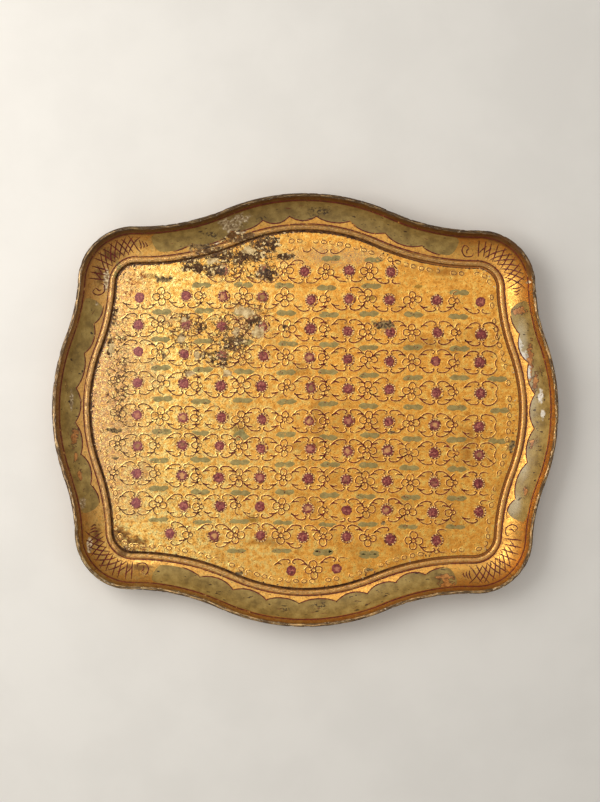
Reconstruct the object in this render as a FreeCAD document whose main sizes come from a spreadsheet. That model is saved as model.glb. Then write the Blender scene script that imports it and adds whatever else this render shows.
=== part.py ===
import FreeCAD, Part
import math
import os

import Sketcher

# A shallow serving tray of gilded wood with a serpentine outline and a coved rim.
#
# The rim is four moulded rails, mitred in the middle of the four round corners. A loose spline joins each
# mitre. A thin panel is let into a rebate under the rails and held by pins driven from beneath, and its
# raised middle is the tray's field. A narrow groove shows all round, between the rails and the field.
# Millimetres, +Z up, +X along the tray, the origin at the middle of the underside.

Vector = FreeCAD.Vector
UP = Vector(0, 0, 1)

SIZES = {
    # outline of the lip, the same in all four quarters
    "tray_length": 460.0,
    "tray_width": 394.0,
    "tray_height": 28.0,
    "long_bulge_radius": 190.0,
    "long_hollow_radius": 194.0,
    "end_bulge_radius": 188.0,
    "end_hollow_radius": 159.0,
    "corner_radius": 51.0,
    "corner_along": 157.0,
    "corner_across": 114.0,
    "mitre_angle": 46.0,
    # section of the rails: an inset is measured inwards from the edge of the lip
    "lip_radius": 1.9,
    "lip_inner_drop": 2.1,
    "lip_outer_drop": 3.2,
    "band_inset": 5.6,
    "band_height": 22.6,
    "cove_radius": 31.0,
    "cove_foot_inset": 25.9,
    "cove_foot_height": 5.3,
    "ridge_radius": 2.55,
    "ridge_end_inset": 30.7,
    "ridge_end_height": 5.0,
    "rebate_inset": 17.5,
    "rebate_height": 3.2,
    "foot_inset": 11.5,
    "wall_radius": 62.0,
    # panel
    "panel_inset": 17.7,
    "field_inset": 32.2,
    "field_height": 4.7,
    "field_chamfer": 0.5,
    # splines across the mitres
    "spline_length": 18.0,
    "spline_width": 9.0,
    "spline_thickness": 2.2,
    "spline_inset": 14.5,
    "spline_height": 4.4,
    # pins through the panel's edge into the rails
    "pin_inset": 20.0,
    "pin_radius": 0.6,
    "pin_head_radius": 1.1,
    "pin_head_height": 0.5,
    "pin_sunk": 0.3,
    "pin_length": 6.2,
    "pins_per_rail": 5.0,
    "pin_end_gap": 26.0,
}

# what differs between the two pairs of rails, each seen with its lip towards +Y
LONG_RAIL = {
    "half": "Sizes.tray_width / 2",
    "bulge": "Sizes.long_bulge_radius",
    "hollow": "Sizes.long_hollow_radius",
    "corner_x": "Sizes.corner_along",
    "corner_y": "Sizes.corner_across",
    "mitre": "Sizes.mitre_angle",
}
END_RAIL = {
    "half": "Sizes.tray_length / 2",
    "bulge": "Sizes.end_bulge_radius",
    "hollow": "Sizes.end_hollow_radius",
    "corner_x": "Sizes.corner_across",
    "corner_y": "Sizes.corner_along",
    "mitre": "90 - Sizes.mitre_angle",
}
RAILS = {
    "rail_back": (LONG_RAIL, 0),
    "rail_left": (END_RAIL, 90),
    "rail_front": (LONG_RAIL, 180),
    "rail_right": (END_RAIL, 270),
}
CORNERS = {
    "mitre_spline_back_right": (1, 1),
    "mitre_spline_back_left": (-1, 1),
    "mitre_spline_front_left": (-1, -1),
    "mitre_spline_front_right": (1, -1),
}

doc = FreeCAD.newDocument("Tray")


def make_sheet():
    sheet = doc.addObject("Spreadsheet::Sheet", "Sizes")
    for row, (alias, value) in enumerate(SIZES.items(), start=1):
        sheet.set(f"A{row}", alias)
        sheet.set(f"B{row}", str(value))
        sheet.setAlias(f"B{row}", alias)
    doc.recompute()
    return sheet


sheet = make_sheet()


def value_of(expression):
    """The number that an expression over the sheet's aliases stands for."""
    result = sheet.evalExpression(expression.replace("Sizes.", ""))
    return float(getattr(result, "Value", result))


# --- sketches -----------------------------------------------------------------------------------------


def new_sketch(body, name, plane):
    """A sketch on one of the body's own origin planes."""
    sketch = body.newObject("Sketcher::SketchObject", name)
    support = next(f for f in body.Origin.OriginFeatures if f.Role == plane)
    sketch.AttachmentSupport = [(support, "")]
    sketch.MapMode = "FlatFace"
    return sketch


def bind(sketch, name, kind, where, expression):
    """Adds a constraint with a name, whose value follows an expression."""
    index = sketch.addConstraint(Sketcher.Constraint(kind, *where, value_of(expression)))
    sketch.renameConstraint(index, name)
    sketch.setExpression(f"Constraints.{name}", expression)


def bind_point(sketch, name, geometry, end, x, y):
    bind(sketch, name + "_x", "DistanceX", (-1, 1, geometry, end), x)
    bind(sketch, name + "_y", "DistanceY", (-1, 1, geometry, end), y)


def add_arc(sketch, centre, radius, start, end):
    """An arc that runs anticlockwise about its centre from start to end."""
    angles = [math.atan2(p.y - centre.y, p.x - centre.x) for p in (start, end)]
    circle = Part.Circle(centre, UP, radius)
    return sketch.addGeometry(Part.ArcOfCircle(circle, *angles))


def add_line(sketch, start, end):
    return sketch.addGeometry(Part.LineSegment(start, end))


def join(sketch, first, first_end, second, second_end, kind="Coincident"):
    sketch.addConstraint(Sketcher.Constraint(kind, first, first_end, second, second_end))


def bend_centre(start, end, radius, left):
    """Centre of the circle through two points, to the left or right of the way from start to end."""
    middle = (start + end) / 2
    chord = end - start
    away = math.sqrt(radius**2 - (chord.Length / 2) ** 2)
    side = Vector(-chord.y, chord.x, 0).normalize() * (1 if left else -1)
    return middle + side * away


# --- outline ------------------------------------------------------------------------------------------


def half_rail(rail, inset="0"):
    """Circles and tangent points of half a rail: its bulge, the hollow beside it and the corner."""
    numbers = {key: value_of(text) for key, text in rail.items()}
    gap = value_of(inset)
    bulge, hollow, corner = numbers["bulge"], numbers["hollow"], value_of("Sizes.corner_radius")
    bulge_centre = Vector(0, numbers["half"] - bulge, 0)
    corner_centre = Vector(numbers["corner_x"], numbers["corner_y"], 0)

    # the hollow's circle touches the bulge and the corner from outside
    line = corner_centre - bulge_centre
    near, far = bulge + hollow, corner + hollow
    along = (near**2 - far**2 + line.Length**2) / (2 * line.Length)
    out = math.sqrt(near**2 - along**2)
    unit = Vector(line).normalize()
    hollow_centre = bulge_centre + unit * along + Vector(-unit.y, unit.x, 0) * out

    mitre = math.radians(numbers["mitre"])
    return {
        "bulge_centre": bulge_centre,
        "hollow_centre": hollow_centre,
        "corner_centre": corner_centre,
        "bulge_radius": bulge - gap,
        "hollow_radius": hollow + gap,
        "corner_radius": corner - gap,
        "middle": bulge_centre + Vector(0, bulge - gap, 0),
        "bulge_end": bulge_centre + (hollow_centre - bulge_centre).normalize() * (bulge - gap),
        "corner_start": corner_centre + (hollow_centre - corner_centre).normalize() * (corner - gap),
        "mitre_end": corner_centre + Vector(math.cos(mitre), math.sin(mitre), 0) * (corner - gap),
    }


def bind_circle(sketch, name, arc, x, y, radius):
    bind_point(sketch, name, arc, 3, x, y)
    bind(sketch, name + "_radius", "Radius", (arc,), radius)


def draw_half_rail(sketch, rail, inset="0"):
    """The line along half a rail, from the middle of its bulge to the mitre."""
    half = half_rail(rail, inset)
    bulge = add_arc(
        sketch, half["bulge_centre"], half["bulge_radius"], half["bulge_end"], half["middle"]
    )
    hollow = add_arc(
        sketch, half["hollow_centre"], half["hollow_radius"], half["bulge_end"], half["corner_start"]
    )
    corner = add_arc(
        sketch, half["corner_centre"], half["corner_radius"], half["mitre_end"], half["corner_start"]
    )
    join(sketch, bulge, 1, hollow, 1, "Tangent")
    join(sketch, hollow, 2, corner, 2, "Tangent")
    centre_y = f"{rail['half']} - {rail['bulge']}"
    bind_circle(sketch, "bulge", bulge, "0", centre_y, f"{rail['bulge']} - {inset}")
    bind(sketch, "bulge_middle", "DistanceX", (-1, 1, bulge, 2), "0")
    bind(sketch, "hollow_radius", "Radius", (hollow,), f"{rail['hollow']} + {inset}")
    corner_radius = f"(Sizes.corner_radius - {inset})"
    bind_circle(sketch, "corner", corner, rail["corner_x"], rail["corner_y"], corner_radius)
    end_x = f"{rail['corner_x']} + {corner_radius} * cos({rail['mitre']})"
    bind(sketch, "mitre_x", "DistanceX", (-1, 1, corner, 1), end_x)


def draw_quarter(sketch, inset):
    """A quarter of the outline, a distance inside the lip, closed along the tray's two centre lines."""
    back, side = half_rail(LONG_RAIL, inset), half_rail(END_RAIL, inset)

    def turned(point):
        return Vector(point.y, point.x, 0)

    side_middle, side_end, side_start = (
        turned(side[key]) for key in ("middle", "bulge_end", "corner_start")
    )
    corner_centre, hollow_centre = back["corner_centre"], turned(side["hollow_centre"])
    long_bulge = add_arc(
        sketch, back["bulge_centre"], back["bulge_radius"], back["bulge_end"], back["middle"]
    )
    long_hollow = add_arc(
        sketch, back["hollow_centre"], back["hollow_radius"], back["bulge_end"], back["corner_start"]
    )
    corner = add_arc(
        sketch, corner_centre, back["corner_radius"], side_start, back["corner_start"]
    )
    end_hollow = add_arc(sketch, hollow_centre, side["hollow_radius"], side_start, side_end)
    end_bulge = add_arc(
        sketch, turned(side["bulge_centre"]), side["bulge_radius"], side_middle, side_end
    )
    across = add_line(sketch, Vector(), back["middle"])
    along = add_line(sketch, Vector(), side_middle)

    join(sketch, long_bulge, 1, long_hollow, 1, "Tangent")
    join(sketch, long_hollow, 2, corner, 2, "Tangent")
    join(sketch, corner, 1, end_hollow, 1, "Tangent")
    join(sketch, end_hollow, 2, end_bulge, 2, "Tangent")
    join(sketch, across, 2, long_bulge, 2)
    join(sketch, along, 2, end_bulge, 1)
    join(sketch, across, 1, -1, 1)
    join(sketch, along, 1, -1, 1)
    sketch.addConstraint(Sketcher.Constraint("Vertical", across))
    sketch.addConstraint(Sketcher.Constraint("Horizontal", along))

    long_y = "Sizes.tray_width / 2 - Sizes.long_bulge_radius"
    end_x = "Sizes.tray_length / 2 - Sizes.end_bulge_radius"
    bind_circle(sketch, "long", long_bulge, "0", long_y, f"Sizes.long_bulge_radius - {inset}")
    bind_circle(sketch, "side", end_bulge, end_x, "0", f"Sizes.end_bulge_radius - {inset}")
    bind(sketch, "long_hollow", "Radius", (long_hollow,), f"Sizes.long_hollow_radius + {inset}")
    bind(sketch, "end_hollow", "Radius", (end_hollow,), f"Sizes.end_hollow_radius + {inset}")
    bind_circle(
        sketch,
        "corner",
        corner,
        "Sizes.corner_along",
        "Sizes.corner_across",
        f"Sizes.corner_radius - {inset}",
    )


# --- rails --------------------------------------------------------------------------------------------


def draw_section(sketch, rail):
    """A rail's section, with the lip outermost, the cove facing the field and the rebate beneath."""

    def place(inset, height):
        """A point of the section as two expressions: how far out it is, and how high."""
        return f"{rail['half']} - {inset}", height

    def spot(expressions):
        return Vector(value_of(expressions[0]), value_of(expressions[1]), 0)

    lip = place("Sizes.lip_radius", "Sizes.tray_height - Sizes.lip_radius")
    band = place("Sizes.band_inset", "Sizes.band_height")
    cove_foot = place("Sizes.cove_foot_inset", "Sizes.cove_foot_height")
    ridge_end = place("Sizes.ridge_end_inset", "Sizes.ridge_end_height")
    rebate_lip = place("Sizes.ridge_end_inset", "Sizes.rebate_height")
    rebate_root = place("Sizes.rebate_inset", "Sizes.rebate_height")
    foot_inner = place("Sizes.rebate_inset", "0")
    foot_outer = place("Sizes.foot_inset", "0")

    # the lip's round meets the inner band and the outer wall at two stated heights
    lip_radius, lip_centre = value_of("Sizes.lip_radius"), spot(lip)

    def on_lip(drop, side):
        up = lip_radius - value_of(drop)
        return lip_centre + Vector(side * math.sqrt(lip_radius**2 - up**2), up, 0)

    lip_inner = on_lip("Sizes.lip_inner_drop", -1)
    lip_outer = on_lip("Sizes.lip_outer_drop", 1)

    lip_arc = add_arc(sketch, lip_centre, lip_radius, lip_outer, lip_inner)
    band_line = add_line(sketch, lip_inner, spot(band))
    cove_radius = value_of("Sizes.cove_radius")
    cove_centre = bend_centre(spot(cove_foot), spot(band), cove_radius, left=True)
    cove_arc = add_arc(sketch, cove_centre, cove_radius, spot(cove_foot), spot(band))
    ridge_radius = value_of("Sizes.ridge_radius")
    ridge_centre = bend_centre(spot(cove_foot), spot(ridge_end), ridge_radius, left=True)
    ridge_arc = add_arc(sketch, ridge_centre, ridge_radius, spot(cove_foot), spot(ridge_end))
    edge_line = add_line(sketch, spot(ridge_end), spot(rebate_lip))
    rebate_line = add_line(sketch, spot(rebate_lip), spot(rebate_root))
    step_line = add_line(sketch, spot(rebate_root), spot(foot_inner))
    foot_line = add_line(sketch, spot(foot_inner), spot(foot_outer))
    wall_radius = value_of("Sizes.wall_radius")
    wall_centre = bend_centre(spot(foot_outer), lip_outer, wall_radius, left=True)
    wall_arc = add_arc(sketch, wall_centre, wall_radius, spot(foot_outer), lip_outer)

    join(sketch, lip_arc, 2, band_line, 1)
    join(sketch, band_line, 2, cove_arc, 2)
    join(sketch, cove_arc, 1, ridge_arc, 1)
    join(sketch, ridge_arc, 2, edge_line, 1)
    join(sketch, edge_line, 2, rebate_line, 1)
    join(sketch, rebate_line, 2, step_line, 1)
    join(sketch, step_line, 2, foot_line, 1)
    join(sketch, foot_line, 2, wall_arc, 1)
    join(sketch, wall_arc, 2, lip_arc, 1)

    bind_circle(sketch, "lip", lip_arc, *lip, "Sizes.lip_radius")
    for name, end, drop in (("lip_outer", 1, "lip_outer_drop"), ("lip_inner", 2, "lip_inner_drop")):
        height = f"Sizes.tray_height - Sizes.{drop}"
        bind(sketch, name, "DistanceY", (-1, 1, lip_arc, end), height)
    bind_point(sketch, "band", band_line, 2, *band)
    bind_point(sketch, "cove_foot", cove_arc, 1, *cove_foot)
    bind_point(sketch, "ridge_end", ridge_arc, 2, *ridge_end)
    bind_point(sketch, "rebate_lip", edge_line, 2, *rebate_lip)
    bind_point(sketch, "rebate_root", rebate_line, 2, *rebate_root)
    bind_point(sketch, "foot_inner", step_line, 2, *foot_inner)
    bind_point(sketch, "foot_outer", foot_line, 2, *foot_outer)
    bind(sketch, "cove_radius", "Radius", (cove_arc,), "Sizes.cove_radius")
    bind(sketch, "ridge_radius", "Radius", (ridge_arc,), "Sizes.ridge_radius")
    bind(sketch, "wall_radius", "Radius", (wall_arc,), "Sizes.wall_radius")


def make_moulding(name, rail, turn):
    """One rail before it is bored: half its length swept, then mirrored at the middle of the bulge."""
    body = doc.addObject("PartDesign::Body", name + "_moulding")
    path = new_sketch(body, name + "_path", "XY_Plane")
    draw_half_rail(path, rail)
    section = new_sketch(body, name + "_section", "YZ_Plane")
    draw_section(section, rail)
    doc.recompute()

    pipe = body.newObject("PartDesign::AdditivePipe", name + "_pipe")
    pipe.Profile = section
    pipe.Spine = (path, [f"Edge{i + 1}" for i in range(path.GeometryCount)])
    doc.recompute()

    mirrored = body.newObject("PartDesign::Mirrored", name + "_mirrored")
    plane = next(f for f in body.Origin.OriginFeatures if f.Role == "YZ_Plane")
    mirrored.Originals = [pipe]
    mirrored.MirrorPlane = (plane, [""])
    body.Tip = mirrored
    body.Placement = FreeCAD.Placement(Vector(), FreeCAD.Rotation(UP, turn))
    doc.recompute()
    return body


# --- panel --------------------------------------------------------------------------------------------


def pad_quarter(body, name, inset, height, base="0"):
    """Pads a quarter of the outline upwards and mirrors it twice, so that it fills the whole tray."""
    sketch = new_sketch(body, name + "_outline", "XY_Plane")
    draw_quarter(sketch, inset)
    sketch.AttachmentOffset = FreeCAD.Placement(Vector(0, 0, value_of(base)), FreeCAD.Rotation())
    sketch.setExpression("AttachmentOffset.Base.z", base)
    doc.recompute()
    pad = body.newObject("PartDesign::Pad", name + "_pad")
    pad.Profile = sketch
    pad.Length = value_of(height)
    pad.setExpression("Length", height)
    doc.recompute()
    both = body.newObject("PartDesign::MultiTransform", name + "_whole")
    both.Originals = [pad]
    body.Tip = both
    steps = []
    for plane_name in ("YZ_Plane", "XZ_Plane"):
        step = body.newObject("PartDesign::Mirrored", f"{name}_{plane_name[:2].lower()}")
        plane = next(f for f in body.Origin.OriginFeatures if f.Role == plane_name)
        step.MirrorPlane = (plane, [""])
        steps.append(step)
    both.Transformations = steps
    body.Tip = both
    doc.recompute()
    return both


def make_panel():
    """The panel before it is bored: a tongue all round that lies in the rebate, and the raised field."""
    body = doc.addObject("PartDesign::Body", "base_panel_plate")
    pad_quarter(body, "tongue", "Sizes.panel_inset", "Sizes.rebate_height")
    rise = "Sizes.field_height - Sizes.rebate_height"
    field = pad_quarter(body, "field", "Sizes.field_inset", rise, base="Sizes.rebate_height")

    height = value_of("Sizes.field_height")
    edges = [
        f"Edge{i}"
        for i, edge in enumerate(field.Shape.Edges, start=1)
        if all(abs(v.Z - height) < 1e-4 for v in edge.Vertexes)
    ]
    chamfer = body.newObject("PartDesign::Chamfer", "field_edge")
    chamfer.Base = (field, edges)
    chamfer.Size = value_of("Sizes.field_chamfer")
    chamfer.setExpression("Size", "Sizes.field_chamfer")
    body.Tip = chamfer
    doc.recompute()
    return body


# --- splines and pins ---------------------------------------------------------------------------------


def make_spline(name, side_x, side_y):
    """A loose tongue across a mitre, square to the mitre's plane."""
    box = doc.addObject("Part::Box", name)
    box.Label = name
    for size, alias in (
        ("Length", "spline_length"),
        ("Width", "spline_width"),
        ("Height", "spline_thickness"),
    ):
        box.setExpression(size, "Sizes." + alias)

    angle = value_of("Sizes.mitre_angle")
    if side_x < 0:
        angle = 180 - angle
    if side_y < 0:
        angle = -angle
    reach = value_of("Sizes.corner_radius - Sizes.spline_inset")
    outward = Vector(math.cos(math.radians(angle)), math.sin(math.radians(angle)), 0)
    centre = Vector(
        side_x * value_of("Sizes.corner_along"), side_y * value_of("Sizes.corner_across"), 0
    )
    turn = FreeCAD.Rotation(UP, angle - 90)
    half = Vector(value_of("Sizes.spline_length") / 2, value_of("Sizes.spline_width") / 2, 0)
    corner = centre + outward * reach - turn.multVec(half)
    corner.z = value_of("Sizes.spline_height")
    box.Placement = FreeCAD.Placement(corner, turn)
    return box


def pin_spots():
    """Places of the pins along all four rails, at even steps along the line that they are driven on."""
    count = int(value_of("Sizes.pins_per_rail"))
    spots = []
    for rail, turn in RAILS.values():
        half = half_rail(rail, "Sizes.pin_inset")
        arcs = (
            ("bulge", half["middle"], half["bulge_end"]),
            ("hollow", half["bulge_end"], half["corner_start"]),
            ("corner", half["corner_start"], half["mitre_end"]),
        )
        edges = []
        for name, start, end in arcs:
            circle = Part.Circle(half[name + "_centre"], UP, half[name + "_radius"])
            ends = sorted(circle.parameter(point) for point in (start, end))
            edges.append(Part.ArcOfCircle(circle, *ends).toShape())
        line = Part.Wire(Part.sortEdges(edges)[0])
        points = line.discretize(Number=400)
        if points[0].x > points[-1].x:
            points.reverse()
        reach = line.Length - value_of("Sizes.pin_end_gap")
        rotation = FreeCAD.Rotation(UP, turn)
        for i in range(count):
            way = reach * (2 * i / (count - 1) - 1)
            point = points[round(abs(way) / line.Length * (len(points) - 1))]
            spots.append(rotation.multVec(Vector(math.copysign(point.x, way), point.y, 0)))
    return spots


def make_pins():
    """Steel panel pins, point upwards, with flat heads a little below the panel's underside."""
    radius, head = value_of("Sizes.pin_radius"), value_of("Sizes.pin_head_radius")
    head_height, sunk = value_of("Sizes.pin_head_height"), value_of("Sizes.pin_sunk")
    length = value_of("Sizes.pin_length")
    outline = [
        Vector(0, 0, sunk),
        Vector(head, 0, sunk),
        Vector(head, 0, sunk + head_height / 2),
        Vector(radius, 0, sunk + head_height),
        Vector(radius, 0, sunk + length - 2 * radius),
        Vector(0, 0, sunk + length),
        Vector(0, 0, sunk),
    ]
    pin = Part.Face(Part.makePolygon(outline)).revolve(Vector(), UP, 360)
    pins = []
    for spot in pin_spots():
        copy = pin.copy()
        copy.translate(spot)
        pins.append(copy)
    feature = doc.addObject("Part::Feature", "panel_pins")
    feature.Shape = Part.makeCompound(pins)
    return feature


def make_pin_bores(pins):
    """What the pins leave empty: their own shape, and the short hole that each head was punched into."""
    head, sunk = value_of("Sizes.pin_head_radius"), value_of("Sizes.pin_sunk")
    mouths = [Part.makeCylinder(head, sunk, spot) for spot in pin_spots()]
    feature = doc.addObject("Part::Feature", "pin_bores")
    feature.Shape = Part.makeCompound([
        solid.fuse(mouth) for solid, mouth in zip(pins.Shape.Solids, mouths)
    ])
    return feature


def bored(base, name, tools):
    """The sub-part itself: its body less the holes for what goes into it."""
    tool = tools[0]
    if len(tools) > 1:
        tool = doc.addObject("Part::Compound", name + "_holes")
        tool.Links = tools
    cut = doc.addObject("Part::Cut", name)
    cut.Label = name
    cut.Base = base
    cut.Tool = tool
    return cut


# --- the tray -----------------------------------------------------------------------------------------


def write_out(nodes):
    """Checks every object and then writes one file for each sub-part."""
    doc.recompute()
    for item in doc.Objects:
        if {"Invalid", "Error"} & set(item.State):
            raise RuntimeError(f"{item.Label}: {item.State}")
    for node in nodes:
        if node.Shape.isNull() or not node.Shape.isValid() or not node.Shape.Solids:
            raise RuntimeError(f"{node.Label} has no valid solid")
    os.makedirs("parts", exist_ok=True)
    for node in nodes:
        node.Shape.exportStep(f"parts/{node.Label}.step")
        print(f"{node.Label}: {len(node.Shape.Solids)} solid(s), {node.Shape.Volume:.1f} mm3")


pins = make_pins()
pin_bores = make_pin_bores(pins)
splines = [make_spline(name, *sides) for name, sides in CORNERS.items()]
nodes = [pins, *splines, bored(make_panel(), "base_panel", [pin_bores])]
for rail_name, (rail_shape, rail_turn) in RAILS.items():
    moulding = make_moulding(rail_name, rail_shape, rail_turn)
    nodes.append(bored(moulding, rail_name, [pin_bores, *splines]))
write_out(nodes)
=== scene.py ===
import math
import random
from collections import namedtuple

import bpy
import numpy as np
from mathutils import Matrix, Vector, noise


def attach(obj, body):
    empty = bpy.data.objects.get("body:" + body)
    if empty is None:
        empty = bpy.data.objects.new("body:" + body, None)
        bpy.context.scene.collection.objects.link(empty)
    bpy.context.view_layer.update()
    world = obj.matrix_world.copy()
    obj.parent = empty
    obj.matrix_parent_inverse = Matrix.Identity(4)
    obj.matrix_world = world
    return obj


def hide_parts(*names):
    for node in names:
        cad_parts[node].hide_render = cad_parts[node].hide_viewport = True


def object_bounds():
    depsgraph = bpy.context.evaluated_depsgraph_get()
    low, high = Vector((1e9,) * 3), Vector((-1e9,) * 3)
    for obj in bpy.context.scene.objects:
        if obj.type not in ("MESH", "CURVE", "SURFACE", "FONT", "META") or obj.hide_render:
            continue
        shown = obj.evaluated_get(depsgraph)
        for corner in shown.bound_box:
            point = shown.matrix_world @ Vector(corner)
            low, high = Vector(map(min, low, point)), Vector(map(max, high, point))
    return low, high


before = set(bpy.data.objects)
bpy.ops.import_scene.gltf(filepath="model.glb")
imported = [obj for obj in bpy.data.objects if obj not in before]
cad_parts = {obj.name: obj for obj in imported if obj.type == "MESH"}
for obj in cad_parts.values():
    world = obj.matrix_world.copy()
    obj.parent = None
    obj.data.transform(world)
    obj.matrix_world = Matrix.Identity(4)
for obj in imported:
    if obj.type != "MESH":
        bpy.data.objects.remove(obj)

# A gilded serving tray. Metres, +Z up, +X along the tray, the origin at the middle of the underside.
#
# A place on the rim is given by two lengths: along the lip, clockwise from the middle of the back rail,
# and the inset, inwards from the lip's edge. A place on the field is given by x and y.

MM = 0.001
cad_low, cad_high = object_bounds()
hand = random.Random(29)


def sway(reach):
    """A random number from minus to plus the reach."""
    return hand.uniform(-reach, reach)


def circle(count):
    """That many angles spread evenly over a full turn."""
    return np.linspace(0, 2 * math.pi, count, endpoint=False)


# --- the rim's outline and section ---------------------------------------------------------------------

HALF_LENGTH, HALF_WIDTH, TRAY_TOP = cad_high.x, cad_high.y, cad_high.z
CORNER = np.array((157, 114)) * MM
CORNER_RADIUS = 51 * MM
LONG_BULGE, LONG_HOLLOW = 190 * MM, 194 * MM
END_BULGE, END_HOLLOW = 188 * MM, 159 * MM
MITRE_ANGLE = math.radians(46)

LIP_RADIUS = 1.9 * MM
LIP_INNER_DROP, LIP_OUTER_DROP = 2.1 * MM, 3.2 * MM
BAND_FOOT = np.array((5.6, 22.6)) * MM
COVE_FOOT = np.array((25.9, 5.3)) * MM
RIDGE_END = np.array((30.7, 5.0)) * MM
COVE_RADIUS, RIDGE_RADIUS, WALL_RADIUS = 31 * MM, 2.55 * MM, 62 * MM
REBATE_INSET, REBATE_HEIGHT = 17.5 * MM, 3.2 * MM
FOOT_INSET = 11.5 * MM
FIELD_INSET = 32.2 * MM
FIELD_TOP = 4.7 * MM

LIP_CENTRE = np.array((LIP_RADIUS, TRAY_TOP - LIP_RADIUS))


def on_lip(drop, side):
    """The point of the lip's round that lies that far below its top, on its outer (-1) or inner (1) side."""
    up = LIP_RADIUS - drop
    return LIP_CENTRE + np.array((side * math.sqrt(LIP_RADIUS**2 - up**2), up))


def arc_centre(start, end, radius, side):
    """Centre of the circle through two points, to the left (1) or right (-1) of the way between them."""
    chord = end - start
    away = math.sqrt(radius**2 - chord @ chord / 4)
    return (start + end) / 2 + side * away * np.array((-chord[1], chord[0])) / np.linalg.norm(chord)


LIP_INNER, LIP_OUTER = on_lip(LIP_INNER_DROP, 1), on_lip(LIP_OUTER_DROP, -1)
FOOT = np.array((FOOT_INSET, 0.0))
COVE_CENTRE = arc_centre(BAND_FOOT, COVE_FOOT, COVE_RADIUS, 1)
RIDGE_CENTRE = arc_centre(COVE_FOOT, RIDGE_END, RIDGE_RADIUS, -1)
WALL_CENTRE = arc_centre(FOOT, LIP_OUTER, WALL_RADIUS, -1)

Arc = namedtuple("Arc", "centre radius angle bend start length")


def direction(start, end):
    return math.atan2(end[1] - start[1], end[0] - start[0])


def hollow_centre(bulge_centre, bulge, hollow, side):
    """Centre of the circle that touches a bulge and the corner from outside."""
    line = CORNER - bulge_centre
    near, far = bulge + hollow, CORNER_RADIUS + hollow
    gap = np.linalg.norm(line)
    along = (near**2 - far**2 + gap**2) / (2 * gap)
    across = side * math.sqrt(near**2 - along**2)
    return bulge_centre + (along * line + across * np.array((-line[1], line[0]))) / gap


def quarter_arcs():
    """The five arcs of the lip from the middle of the back rail to the middle of the right rail."""
    long_centre = np.array((0, HALF_WIDTH - LONG_BULGE))
    end_centre = np.array((HALF_LENGTH - END_BULGE, 0))
    long_hollow = hollow_centre(long_centre, LONG_BULGE, LONG_HOLLOW, 1)
    end_hollow = hollow_centre(end_centre, END_BULGE, END_HOLLOW, -1)
    turns = (
        (long_centre, LONG_BULGE, 1, math.pi / 2, direction(long_centre, long_hollow)),
        (long_hollow, LONG_HOLLOW, -1, direction(long_hollow, long_centre), direction(long_hollow, CORNER)),
        (CORNER, CORNER_RADIUS, 1, direction(CORNER, long_hollow), direction(CORNER, end_hollow)),
        (end_hollow, END_HOLLOW, -1, direction(end_hollow, CORNER), direction(end_hollow, end_centre)),
        (end_centre, END_BULGE, 1, direction(end_centre, end_hollow), 0.0),
    )
    arcs, along = [], 0.0
    for centre, radius, bend, first, last in turns:
        sweep = (first - last) * bend % (2 * math.pi)
        arcs.append(Arc(centre, radius, first, bend, along, sweep * radius))
        along += sweep * radius
    return arcs, along


ARCS, QUARTER = quarter_arcs()
MITRE = ARCS[2].start + (ARCS[2].angle - MITRE_ANGLE) * CORNER_RADIUS
BACK, RIGHT, FRONT, LEFT = (turn * QUARTER for turn in range(4))


def outline(along, inset):
    """Plan positions and outward directions of places on the rim, as two arrays."""
    along, inset = np.broadcast_arrays(np.asarray(along, float), np.asarray(inset, float))
    quarter, place = np.divmod(along % (4 * QUARTER), QUARTER)
    place = np.where(quarter % 2 == 1, QUARTER - place, place)
    spot, outward = np.zeros(along.shape + (2,)), np.zeros(along.shape + (2,))
    for arc in ARCS:
        here = (place >= arc.start - 1e-9) & (place <= arc.start + arc.length + 1e-9)
        angle = arc.angle - arc.bend * (place - arc.start) / arc.radius
        way = np.stack((np.cos(angle), np.sin(angle)), -1)
        reach = (arc.radius - arc.bend * inset)[..., None]
        spot = np.where(here[..., None], arc.centre + reach * way, spot)
        outward = np.where(here[..., None], arc.bend * way, outward)
    flip = np.stack((np.where(quarter >= 2, -1, 1), np.where((quarter == 1) | (quarter == 2), -1, 1)), -1)
    return spot * flip, outward * flip


def section(inset):
    """Height of the rim's upper face at an inset, and the upward normal there as (inwards, up)."""
    inset = np.asarray(inset, float)
    down = (BAND_FOOT - LIP_INNER) / np.linalg.norm(BAND_FOOT - LIP_INNER)
    band = LIP_INNER[1] + (inset - LIP_INNER[0]) * down[1] / down[0]
    parts = (
        (LIP_CENTRE, LIP_RADIUS, 1, inset < LIP_INNER[0]),
        (COVE_CENTRE, COVE_RADIUS, -1, (inset >= BAND_FOOT[0]) & (inset < COVE_FOOT[0])),
        (RIDGE_CENTRE, RIDGE_RADIUS, 1, inset >= COVE_FOOT[0]),
    )
    height, lean, up = band, np.full(inset.shape, -down[1]), np.full(inset.shape, down[0])
    for centre, radius, bend, here in parts:
        across = np.clip(inset - centre[0], -radius, radius)
        rise = np.sqrt(radius**2 - across**2)
        height = np.where(here, centre[1] + bend * rise, height)
        lean = np.where(here, bend * across / radius, lean)
        up = np.where(here, rise / radius, up)
    return height, lean, up


def unevenness(points, size, depth):
    """How far a hand-finished surface dips at each point, from nothing to the given depth."""
    dips = [noise.noise(Vector(p) / size) for p in points.reshape(-1, 3)]
    return depth * np.clip(0.5 + np.array(dips).reshape(points.shape[:-1]), 0, 1)


RUBBED_SIZE, RUBBED_DEPTH = 14 * MM, 0.16 * MM


def on_rim(places):
    """Points and normals of the rim's upper face at places given as (along, inset)."""
    places = np.asarray(places, float)
    plan, outward = outline(places[..., 0], places[..., 1])
    height, lean, up = section(places[..., 1])
    points = np.concatenate((plan, height[..., None]), -1)
    normals = np.concatenate((-outward * lean[..., None], up[..., None]), -1)
    return points - normals * unevenness(points, RUBBED_SIZE, RUBBED_DEPTH)[..., None], normals


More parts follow.
